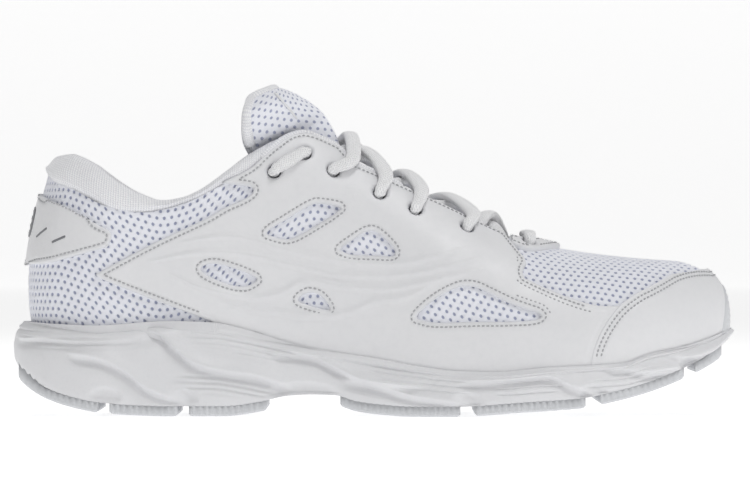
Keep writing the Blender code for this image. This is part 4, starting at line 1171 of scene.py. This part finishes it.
# The sidewall's waves, each a line, a height and a width, then (x, z, half length, half height)
RIDGES = [
    ([(-96, 38), (-88, 34), (-80, 27), (-72.4, 21.6), (-60, 18.6), (-48, 17), (-35, 12.5)], 2.3, 2.3),
    ([(-124, 26), (-112, 24), (-102, 19), (-92, 11.5), (-78.6, 6.5)], 2.0, 2.3),
    ([(-42, 26), (-26, 25.0), (-16, 20.5), (-4, 15.4), (10, 13.4), (20, 12.5)], 1.9, 2.0),
    ([(-12, 15.5), (0.2, 13), (18, 8.5), (38, 5.5)], 1.8, 2.2),
    ([(34, 14.5), (52, 15.5), (70.8, 17.0), (80, 13.5), (90, 9.5)], 1.8, 2.1),
    ([(92, 21), (104, 19.8), (114, 18.4), (126, 20.0)], 1.5, 1.9),
    ([(-146, 32), (-136, 32.5), (-120, 31.0), (-104, 31.5), (-92, 33)], 1.3, 1.8),
    ([(118, 26), (128, 24.5), (138, 26.5), (145, 31)], 1.3, 1.8),
]
FINE_GROOVES = [(-127, 32, 18, 5.5), (-54, 30, 24, 5.0), (-63, 13.5, 21, 4.6), (21, 15.5, 23, 6.0),
                (108, 14.5, 20, 5.0), (62, 12, 14, 4.0)]
SCOOPS = [(-110.7, 7.5, 7, 5), (-78.2, 7.0, 6, 4.5), (-29, 9.5, 15, 5.0), (38, 6.5, 6, 3.8),
          (89.0, 10.0, 6, 3.8), (129.5, 21.0, 5, 3.2)]


def sidewall_relief(x, z):
    """Wave ridges, bundles of fine grooves, and scoops over the gaps between the pads."""
    flat = np.stack([x.ravel(), z.ravel()], -1)
    relief = np.zeros(len(flat))
    for line, height, width in RIDGES:
        dense = curve_through(line, 0.8, closed=False)
        d = distance_to(flat, dense, closed=False)
        above = flat[:, 1] - np.interp(flat[:, 0], dense[:, 0], dense[:, 1])
        ends = np.clip((np.minimum(flat[:, 0] - line[0][0], line[-1][0] - flat[:, 0]) + 3) / 9, 0, 1)
        side = np.where(above < 0, 0.55 * width, 1.6 * width)
        relief += 1.25 * height * np.exp(-((d / side) ** 2)) * ends
        relief -= 0.7 * height * np.exp(-(((above + 2.4) / 1.6) ** 2)) * ends * (d < 5)
    for cx, cz, rx, rz in FINE_GROOVES:
        slope = (rim_height(flat[:, 0]) - rim_height(cx)) * 0.7
        height = flat[:, 1] - cz - slope
        mask = np.clip(1.25 - ((flat[:, 0] - cx) / rx) ** 2 - (height / rz) ** 2, 0, 0.5) * 2
        relief -= 0.62 * mask * (0.5 + 0.5 * np.cos(TURN * height / 2.3)) ** 3
    for cx, cz, rx, rz in SCOOPS:
        mask = np.clip(1 - ((flat[:, 0] - cx) / rx) ** 2 - ((flat[:, 1] - cz) / rz) ** 2, 0, 1)
        relief -= 1.5 * mask * (2 - mask)
    return relief.reshape(x.shape)


def make_midsole():
    cells = 640
    wall = 62
    u = np.arange(cells) * 2 / cells
    ox, oy = plan_point(u, SOLE, SOLE_LENGTH, 0.0)
    cx = spine_x(plan_point(u)[0])
    centre = np.stack([cx, centre_y(cx)], -1)
    edge = np.stack([ox, oy], -1)
    reach = np.linalg.norm(edge - centre, axis=1)[:, None]
    rim = rim_height(ox)
    base = ground_height(ox) + PAD_THICKNESS + PAD_GAP
    lip = on_upper(u, -0.02, 3.35)
    inset = smooth(
        [(0, 1.0), (0.06, 0.6), (0.16, 0.25), (0.42, 0.0), (0.74, 0.9), (0.86, 1.15), (1.0, 1.2)])
    rows = []
    for k in (0.0, 0.35, 0.6, 0.8):
        xy = centre + (edge - centre) * k
        rows.append(np.column_stack([xy, ground_height(xy[:, 0]) + PAD_THICKNESS + PAD_GAP]))
    lip_inset = np.linalg.norm(edge - lip[:, :2], axis=1)
    outward = unit(edge - centre)
    for j in range(wall + 1):
        k = j / wall
        blend = np.clip((k - 0.7) / 0.3, 0, 1) ** 1.5
        amount = inset(k) * (1 - blend) + lip_inset * blend
        xy = centre + (edge - centre) * (1 - amount[:, None] / reach)
        z = base + (rim - base - 0.6) * k ** 1.03
        fade = np.clip(k / 0.08, 0, 1) * np.clip((1 - k) / 0.12, 0, 1)
        relief = sidewall_relief(xy[:, 0], z) * fade
        bead = 0.45 * np.exp(-(((k - 0.90) / 0.035) ** 2)) - 0.35 * np.exp(-(((k - 0.835) / 0.025) ** 2))
        xy = xy + outward * (relief + bead)[:, None]
        rows.append(np.column_stack([xy, z]))
    # Over the lip and down inside to the footbed
    for t, offset, height, rise in ((-0.02, 2.9, rim_height, -0.15), (-0.02, 1.75, rim_height, -0.35),
                                    (-0.1, 1.75, foot_height, 1.0), (-0.1, 1.3, foot_height, 0.0)):
        floor = on_upper(u, t, offset)
        rows.append(np.column_stack([floor[:, :2], height(floor[:, 0]) + rise]))
    for k in (0.6, 0.0):
        xy = centre + k * (floor[:, :2] - centre)
        rows.append(np.column_stack([xy, foot_height(xy[:, 0])]))
    verts = np.array(rows)
    faces = grid_faces(len(rows), cells, closed_columns=True)
    new_piece("midsole_foam", verts.reshape(-1, 3), faces, FOAM, ["midsole"], flip=True)


def sole_side(x, side, inset):
    """y of the sole's bottom edge at x."""
    v = np.arccos(np.clip(-2 * x / SOLE_LENGTH, -1, 1)) / math.pi
    edge, middle = SOLE[side](v), centre_y(x)
    return edge - np.copysign(np.minimum(inset, np.abs(edge - middle) * 0.8), edge - middle)


def make_pad(name, x0, x1, sides):
    """An outsole pad with a serrated edge and a tread of staggered lozenges."""
    step = 0.75
    columns = int((x1 - x0) / step) + 1
    across = 56 if len(sides) == 2 else 30
    xs = np.linspace(x0, x1, columns)
    serration = 0.35 * np.cos(TURN * xs / 2.6)
    start = sole_side(xs, sides[0], PAD_INSET + serration)
    if len(sides) == 2:
        end = sole_side(xs, sides[1], PAD_INSET + serration)
    else:
        end = centre_y(xs) + PAD_GROOVE * (-1 if sides[0] == 1 else 1)
    y = start[:, None] + (end - start)[:, None] * np.linspace(0, 1, across)[None]
    x = np.repeat(xs[:, None], across, 1)
    border = np.minimum(np.abs(y - start[:, None]), np.abs(y - end[:, None]))
    border = np.minimum(border, np.minimum(x - x0, x1 - x))
    lozenge = np.abs((x + 0.4 * y) / 5.2 % 1 - 0.5) + np.abs((y - 0.3 * x) / 4.4 % 1 - 0.5)
    groove = np.clip((lozenge - 0.62) / 0.12, 0, 1) * np.clip((border - 1.6) / 0.6, 0, 1)
    rounding = 0.9 * np.clip(1 - border / 1.3, 0, 1) ** 2
    ground = ground_height(x)
    sunk = 0.1 + 3.0 * np.clip((np.abs(x) - 136) / 8, 0, 1)
    heights = (1.3 * groove + rounding, PAD_THICKNESS + PAD_GAP + sunk, PAD_THICKNESS * 0.6)
    low, high, mid = (np.stack([x, y, ground + height], -1).reshape(-1, 3) for height in heights)
    loop = [(0, j) for j in range(across)] + [(i, across - 1) for i in range(1, columns)]
    loop += [(columns - 1, j) for j in range(across - 2, -1, -1)]
    loop += [(i, 0) for i in range(columns - 2, 0, -1)]
    size = columns * across
    ids = [i * across + j for i, j in loop]
    quads = grid_faces(columns, across)
    faces = quads[:, ::-1].tolist() + (quads + size).tolist()
    for a, b in zip(ids, ids[1:] + ids[:1]):
        faces.append((a, b, b + 2 * size, a + 2 * size))
        faces.append((a + 2 * size, b + 2 * size, b + size, a + size))
    verts = np.concatenate([low, high, mid])
    new_piece(f"{name}_tread", verts, faces, RUBBER, [name], flip=True)


def make_outsole():
    make_pad("outsole_heel", -147.0, -113.0, (1, -1))
    for side, name in SIDES:
        for place, x0, x1 in (("rear", -108.5, -80.5), ("waist", -76.0, -44.0), ("ball", -14.0, 35.0),
                              ("fore", 41.0, 86.0), ("tread", 92.0, 127.0)):
            make_pad(f"outsole_{place}_{name}", x0, x1, (side,))
    make_pad("outsole_toe", 131.5, 143.5, (1, -1))


# Tongue
TONGUE_SPLIT_X = -13.0
TONGUE_BASE_X = 56.0
flap_x = smooth([(0, -14.8), (0.25, -18.2), (0.5, -23.5), (0.75, -32.5), (1, -41)])
flap_z = smooth([(0, 109.6), (0.25, 116.8), (0.5, 124.6), (0.75, 131.2), (1, 135.2)])
flap_width = smooth([(0, 9.5), (0.15, 8), (0.4, 8.5), (0.52, 16), (0.67, 25.5), (0.8, 27), (1, 20)])
flap_drop = smooth([(0, 30), (0.25, 40), (0.5, 38), (0.75, 27), (1, 12)])
flap_lean = smooth([(0, 45), (0.25, 62), (1, 66)])
flap_thickness = smooth([(0, 4.5), (0.5, 6.5), (0.9, 6.0), (1, 4.0)])
tongue_thickness = smooth([(-12, 4.2), (20, 3.4), (56, 2.6)])
tongue_half = smooth([(-12, 25), (20, 27), (45, 24), (56, 17)])


def tongue_low_point(x, b, depth):
    """The lasted part of the tongue: b from -1 (lateral edge) to 1, depth below its outer face."""
    side = 1 if b < 0 else -1
    across = abs(b) * float(tongue_half(x))
    u, t = from_top(x, across, side)
    sink = min(1.0, max(0.0, (across - 1.0) / 8.5))
    below = 5.0 + 4.6 * sink * sink * (3 - 2 * sink) + depth
    if across < 0.01:
        p = point_on_upper(u, t)
        return np.array([p[0], p[1], p[2] - below])
    return on_upper(u, t, -below)


def flap_point(s, b, depth):
    """The free top of the tongue: s from 0 at the top crossing to 1 at the tip."""
    width = float(flap_width(s))
    drop = float(flap_drop(s))
    lean = math.radians(float(flap_lean(s)))
    angle = b * math.radians(78)
    fall = drop * (1 - math.cos(angle)) + depth * math.cos(angle * 0.7)
    y = (width - depth * 0.9) * math.sin(angle)
    x = float(flap_x(s))
    z = float(flap_z(s))
    return np.array([x - math.sin(lean) * fall, float(centre_y(x)) + y, z - math.cos(lean) * fall])


def make_layer(name, part, shares, finish, node, dimple=0.0):
    """A padded layer of the tongue with rounded edges, between two shares of its thickness."""
    surface, thickness, stations, body = part
    top, bottom = shares
    across = 64
    rows = []
    count = len(stations)
    for i, at in enumerate(stations):
        thick = float(thickness(at))
        near_end = min(i, count - 1 - i) / count
        end = math.sqrt(1 - (1 - min(1, near_end / 0.045)) ** 2)
        row = []
        for j in range(across):
            a = TURN * j / across
            b = -math.cos(a)
            b = math.copysign(abs(b) ** 0.8, b)
            half = math.copysign(abs(math.sin(a)) ** 0.55, math.sin(a)) * (0.35 + 0.65 * end)
            middle, spread = 0.5 * (top + bottom) * thick, 0.5 * (bottom - top) * thick
            row.append(surface(at, b, middle - half * spread))
        rows.append(row)
    verts = np.array(rows)
    run = lengths_along(verts[:, across // 4])
    round_it = lengths_round(verts)
    verts[..., 2] -= dimple * pore_depth(run[:, None], round_it)
    piece = new_piece(name, verts.reshape(-1, 3), capped_tube(count, across), finish, [node], body,
                      cloth_grid(run, round_it), flip=True)
    soften(piece)


def make_tube(name, line, radius, finish, body, sides, flat=1.0, up=(0.0, 0.0, 1.0)):
    """A round or flattened piping along a line of points."""
    line = curve_through(line, 0.9, closed=False)
    ahead = unit(np.gradient(line, axis=0))
    up = np.tile(np.array(up), (len(line), 1))
    across = unit(np.cross(ahead, up))
    up = unit(np.cross(across, ahead))
    ends = np.minimum(np.arange(len(line)), np.arange(len(line))[::-1]) / 2.5
    swell = np.sqrt(np.clip(1 - (1 - np.clip(ends, 0.04, 1)) ** 2, 0, 1)) * radius
    angles = np.linspace(0, TURN, sides, endpoint=False)
    ring = across[:, None] * np.cos(angles)[None, :, None]
    ring = ring + up[:, None] * np.sin(angles)[None, :, None] * flat
    verts = line[:, None] + ring * swell[:, None, None]
    cloth = cloth_grid(lengths_along(line), np.repeat((angles * radius)[None], len(line), 0))
    faces = capped_tube(len(line), sides)
    new_piece(name, verts.reshape(-1, 3), faces, finish, (), body, cloth, flip=True)


def make_tongue():
    lower = (tongue_low_point, tongue_thickness, np.linspace(TONGUE_BASE_X, TONGUE_SPLIT_X, 90), "tongue")
    flap = (flap_point, flap_thickness, np.linspace(0, 1, 80), "flap")
    make_layer("tongue_mesh_lower", lower, (-0.15, 0.68), MESH, "tongue_lower", 0.3)
    make_layer("tongue_knit_lower", lower, (0.6, 1.08), LINING, "tongue_lower_lining")
    make_layer("tongue_mesh_flap", flap, (-0.33, 0.62), MESH, "tongue_flap", 0.3)
    make_layer("tongue_knit_flap", flap, (0.55, 1.15), LINING, "tongue_flap_lining")
    edge = [flap_point(s, -0.99, 1.6) for s in np.linspace(0.50, 0.97, 12)]
    edge += [flap_point(0.985, b, 1.2) for b in np.linspace(-0.85, 0.85, 13)]
    edge += [flap_point(s, 0.99, 1.6) for s in np.linspace(0.97, 0.50, 12)]
    make_tube("tongue_binding", edge, 2.3, KNIT, "flap", 14, up=(0.8, 0, 0.6))
    for b, name in ((-0.55, "lateral"), (0.55, "medial")):
        seam = [flap_point(s, b, -2.0) for s in np.linspace(0.54, 0.93, 12)]
        make_tube(f"tongue_seam_{name}", seam, 0.75, LEATHER, "flap", 8, flat=0.6)


def make_collar_bindings():
    """The knit edge that runs on from each collar roll, over the top and down the throat's edge."""
    for side, name in SIDES:
        vt = from_side([(x, float(top_z(x)) + 0.4) for x in np.linspace(-47, -16, 12)])
        line = [on_upper(side * v, t, -0.2) for v, t in vt]
        line += [on_upper(*beside_throat(x, -0.6, side), -0.3) for x in (-8, -2, 4, 12)]
        make_tube(f"collar_binding_{name}", line, 1.9, KNIT, "shoe", 16)
        if side > 0:
            facing = [on_upper(*beside_throat(x, 0.6), -1.2) for x in np.linspace(14, 50, 10)]
            make_tube(f"throat_binding_{name}", facing, 1.0, MESH, "shoe", 10)


# Lace
OUTSIDE = 3.7
INSIDE = -6.4
TOP_CROSSING = 2
OVER_CROSSING = 1.6
UNDER_CROSSING = -2.0
LACE_HALF_WIDTH = 3.0
LACE_HALF_THICKNESS = 1.6
# Bunched up where it passes through an eyelet
BUNCHED_HALF_WIDTH = 2.3
BUNCHED_HALF_THICKNESS = 1.75
BRAID_LENGTH = 2.3
throat_edge_height = smooth([(-29.5, 115.7), (-23.2, 113.8), (-15.2, 109.8), (-8, 105.6)])


def by_eyelet(side, i, offset):
    """The point at eyelet i, at the given distance outside the lasted surface."""
    return on_upper(*eyelet_place(i, side), offset)


def by_edge(side, x, back, offset):
    """A point back millimetres from the throat's edge at x."""
    if x > -16:
        u, t = beside_throat(x, back)
    else:
        u, t = from_side([(x, float(throat_edge_height(x)) - back)])[0]
    return on_upper(side * u, t, offset)


def through(side, i, outward):
    """The points that carry the lace through eyelet i, inside to outside or the other way."""
    points = [by_eyelet(side, i, offset) for offset in (-6.6, -3.0, 0.6, 3.1)]
    return points if outward else points[::-1]


def over_middle(x, offset):
    return np.array([x, float(centre_y(x)), float(ridge_height(x)) + offset])


def crossing(side, i, over):
    """From eyelet i on one side, over the throat, to below the next eyelet on the other side."""
    x0 = EYELETS[i][0] + 1.0
    x1 = EYELETS[i - 1][0] + 4.0
    middle_x = 0.5 * (x0 + x1)
    rise = 0.0
    past = -3.5
    if i == TOP_CROSSING:
        x0 = -10.0
        x1 = -16.5
        middle_x = -10.5 if over else -8.5
        rise = 3.0
        past = 0.5
    middle = over_middle(middle_x, rise + (OVER_CROSSING if over else UNDER_CROSSING))
    return [by_edge(side, x0, 0.5, OUTSIDE + 0.3), middle, by_edge(-side, x1, past, INSIDE + 1.0),
            by_edge(-side, x1, 2.0, INSIDE)]


def strand(side):
    """Half of the lace, from the middle of the base bar to the aglet, starting towards one side."""
    last = len(EYELETS)
    bar_x = BASE_EYELET[0]
    points = [over_middle(bar_x, 2.6), by_edge(side, bar_x - 0.5, 2.5, OUTSIDE)]
    points += through(side, last, outward=False)
    points.append(by_edge(side, bar_x - 5, 2.5, INSIDE))
    points.append(over_middle(48.0, -0.2 if side > 0 else 4.0))
    side = -side
    points.append(by_edge(side, EYELETS[-1][0] + 4, 2.0, INSIDE))
    for i in range(last - 1, 1, -1):
        points += through(side, i, outward=True)
        points += crossing(side, i, over=side > 0)
        side = -side
    points += through(side, 1, outward=True)
    points.append(0.5 * (by_eyelet(side, 1, OUTSIDE) + by_eyelet(side, 0, OUTSIDE)))
    points += through(side, 0, outward=False)
    start = by_eyelet(side, 0, -9.5)
    points += [start + np.array([-1.0 - 3.2 * k, 0, -3.0 - 9.0 * k]) for k in range(4)]
    return points


def make_lace():
    """One flat braided lace: a bar at the throat's base, crossings above it, the ends tucked inside."""
    line = curve_through(np.array(strand(1)[::-1] + strand(-1)[1:]), 0.7, closed=False)
    count = len(line)
    ahead = unit(np.gradient(line, axis=0))
    hub = np.column_stack([line[:, 0], centre_y(line[:, 0]), ridge_height(line[:, 0]) - 30.0])
    out = unit(line - hub)
    for _ in range(12):
        out = unit(out + 0.5 * (np.roll(out, 1, 0) + np.roll(out, -1, 0)))
    across = unit(np.cross(ahead, out))
    for i in range(1, count):
        if across[i] @ across[i - 1] < 0:
            across[i] = -across[i]
    for _ in range(10):
        across[1:-1] = unit(across[1:-1] + 0.5 * (across[2:] + across[:-2]))
    across = unit(across - ahead * np.sum(across * ahead, 1, keepdims=True))
    up = np.cross(across, ahead)
    eyes = [by_eyelet(side, i, 0.0) for side in (1, -1) for i in range(len(EYELETS) + 1)]
    open_up = np.clip((from_nearest(line, eyes) - 2.5) / 6.0, 0, 1)
    open_up = open_up * open_up * (3 - 2 * open_up)
    width = BUNCHED_HALF_WIDTH + (LACE_HALF_WIDTH - BUNCHED_HALF_WIDTH) * open_up
    thickness = BUNCHED_HALF_THICKNESS + (LACE_HALF_THICKNESS - BUNCHED_HALF_THICKNESS) * open_up
    sides = 28
    angles = np.linspace(0, TURN, sides, endpoint=False)
    run = lengths_along(line)
    c, s = np.cos(angles), np.sin(angles)
    flat_c = np.sign(c) * np.abs(c) ** 0.85
    flat_s = np.sign(s) * np.abs(s) ** 0.8
    round_it = angles[None] * BUNCHED_HALF_WIDTH
    over = np.cos(TURN * (run[:, None] + round_it) / BRAID_LENGTH)
    under = np.cos(TURN * (run[:, None] - round_it) / BRAID_LENGTH)
    swell = 1 + 0.045 * np.maximum(over, under)
    verts = line[:, None] + (across[:, None] * (flat_c[None] * width[:, None] * swell)[..., None]
                             + up[:, None] * (flat_s[None] * thickness[:, None] * swell)[..., None])
    new_piece("lace_braid", verts.reshape(-1, 3), capped_tube(count, sides), LACE, ["lace"],
              cloth=cloth_grid(run, np.repeat(round_it, count, 0)), flip=True)
    make_tip("aglet_lateral", line[0], line[4])
    make_tip("aglet_medial", line[-1], line[-5])


def make_tip(node, end, before):
    """A clear sleeve over the lace's end, with a rolled lip and a rounded tip."""
    away = unit(end - before)
    start = end - away * 1.5
    profile = [(0, 1.2), (0.4, 1.75), (1.4, 1.75), (1.8, 1.55), (18.0, 1.5), (20.2, 1.3), (21.0, 0.7),
               (21.2, 0.1)]
    side = unit(np.cross(away, (0.0, 1.0, 0.0)))
    other = np.cross(away, side)
    sides = 24
    verts = []
    for at, radius in profile:
        for a in np.linspace(0, TURN, sides, endpoint=False):
            verts.append(start + away * at + (side * math.cos(a) + other * math.sin(a)) * radius)
    new_piece(f"{node}_tip", verts, capped_tube(len(profile), sides), AGLET, [node])


def finish_hidden_nodes():
    """Materials for the CAD pieces that are kept as they are, inside the shoe."""
    for node in ("lateral_eyelet_backing", "medial_eyelet_backing", "strobel_board", "toe_puff",
                 "heel_counter"):
        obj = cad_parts[node]
        obj.data.materials.clear()
        obj.data.materials.append(BOARD)


# Floor, light and camera, in metres
FLOOR_RADIUS = 9.0
FLOOR_DROP = 0.0002
WALL_BEND = 1.2
WALL_HEIGHT = 1.5
WALL_SIDES = 64
SKY_LIGHT = 0.33
# Each light's place, power and width
LIGHTS = {
    "key": ((0.55, -0.75, 2.1), 15.5, 0.7),
    "fill": ((1.6, -1.0, 0.7), 2.8, 1.2),
    "rim": ((-0.3, 1.2, 1.6), 9, 1.0),
}
AIM = (0, 0, 0.05)
CAMERA_DISTANCE = 2.6
CAMERA_X = 0.0002
CAMERA_HEIGHT = 0.0681
FRAME_WIDTH = 0.31125
SENSOR_WIDTH = 36.0


def make_floor():
    """A round floor that bends up into a low wall, so that every view has it behind the shoe."""
    bends = np.linspace(0, math.pi / 2, 9)
    profile = [(FLOOR_RADIUS + WALL_BEND * math.sin(a), WALL_BEND * (1 - math.cos(a))) for a in bends]
    profile.append((FLOOR_RADIUS + WALL_BEND, WALL_HEIGHT))
    turns = np.linspace(0, TURN, WALL_SIDES + 1)[:-1]
    verts = [(r * math.cos(a), r * math.sin(a), z - FLOOR_DROP) for r, z in profile for a in turns]
    faces = [tuple(range(WALL_SIDES))]
    for i in range(len(profile) - 1):
        for j in range(WALL_SIDES):
            k = (j + 1) % WALL_SIDES
            low, high = i * WALL_SIDES, (i + 1) * WALL_SIDES
            faces.append((low + j, high + j, high + k, low + k))
    mesh = bpy.data.meshes.new("studio_floor")
    mesh.from_pydata(verts, [], faces)
    mesh.shade_smooth()
    finish = Nodes("floor_white").finish(
        (0.55, 0.55, 0.55), 0.95, Emission_Color=(1, 1, 1, 1), Emission_Strength=0.68)
    mesh.materials.append(finish)
    obj = bpy.data.objects.new("studio_floor", mesh)
    bpy.context.scene.collection.objects.link(obj)


def make_lights():
    world = bpy.data.worlds.new("studio")
    bpy.context.scene.world = world
    world.use_nodes = True
    background = world.node_tree.nodes["Background"]
    background.inputs[0].default_value = (1.0, 1.0, 1.0, 1)
    background.inputs[1].default_value = SKY_LIGHT
    for name, (place, energy, width) in LIGHTS.items():
        data = bpy.data.lights.new(name, "AREA")
        data.energy = energy
        data.size = width
        lamp = bpy.data.objects.new(name, data)
        lamp.location = place
        lamp.rotation_euler = (Vector(AIM) - Vector(place)).to_track_quat("-Z", "Y").to_euler()
        bpy.context.scene.collection.objects.link(lamp)


def make_camera():
    data = bpy.data.cameras.new("camera")
    data.sensor_width = SENSOR_WIDTH
    data.lens = SENSOR_WIDTH * CAMERA_DISTANCE / FRAME_WIDTH
    camera = bpy.data.objects.new("camera", data)
    camera.location = (CAMERA_X, -CAMERA_DISTANCE, CAMERA_HEIGHT)
    camera.rotation_euler = (math.radians(90), 0, 0)
    bpy.context.scene.collection.objects.link(camera)
    bpy.context.scene.camera = camera
    bpy.context.scene.view_settings.view_transform = "Standard"


make_floor()
make_lights()
make_camera()
make_outsole()
make_midsole()
make_footbed()
for side, name in SIDES:
    make_quarter(side, name)
    make_overlay(side, name)
    make_collar(side, name)
make_vamp()
make_toe_cap()
make_toe_bumper()
make_throat_overlay()
make_heel_pieces()
make_tongue()
make_collar_bindings()
make_lace()
make_stitches()
finish_hidden_nodes()
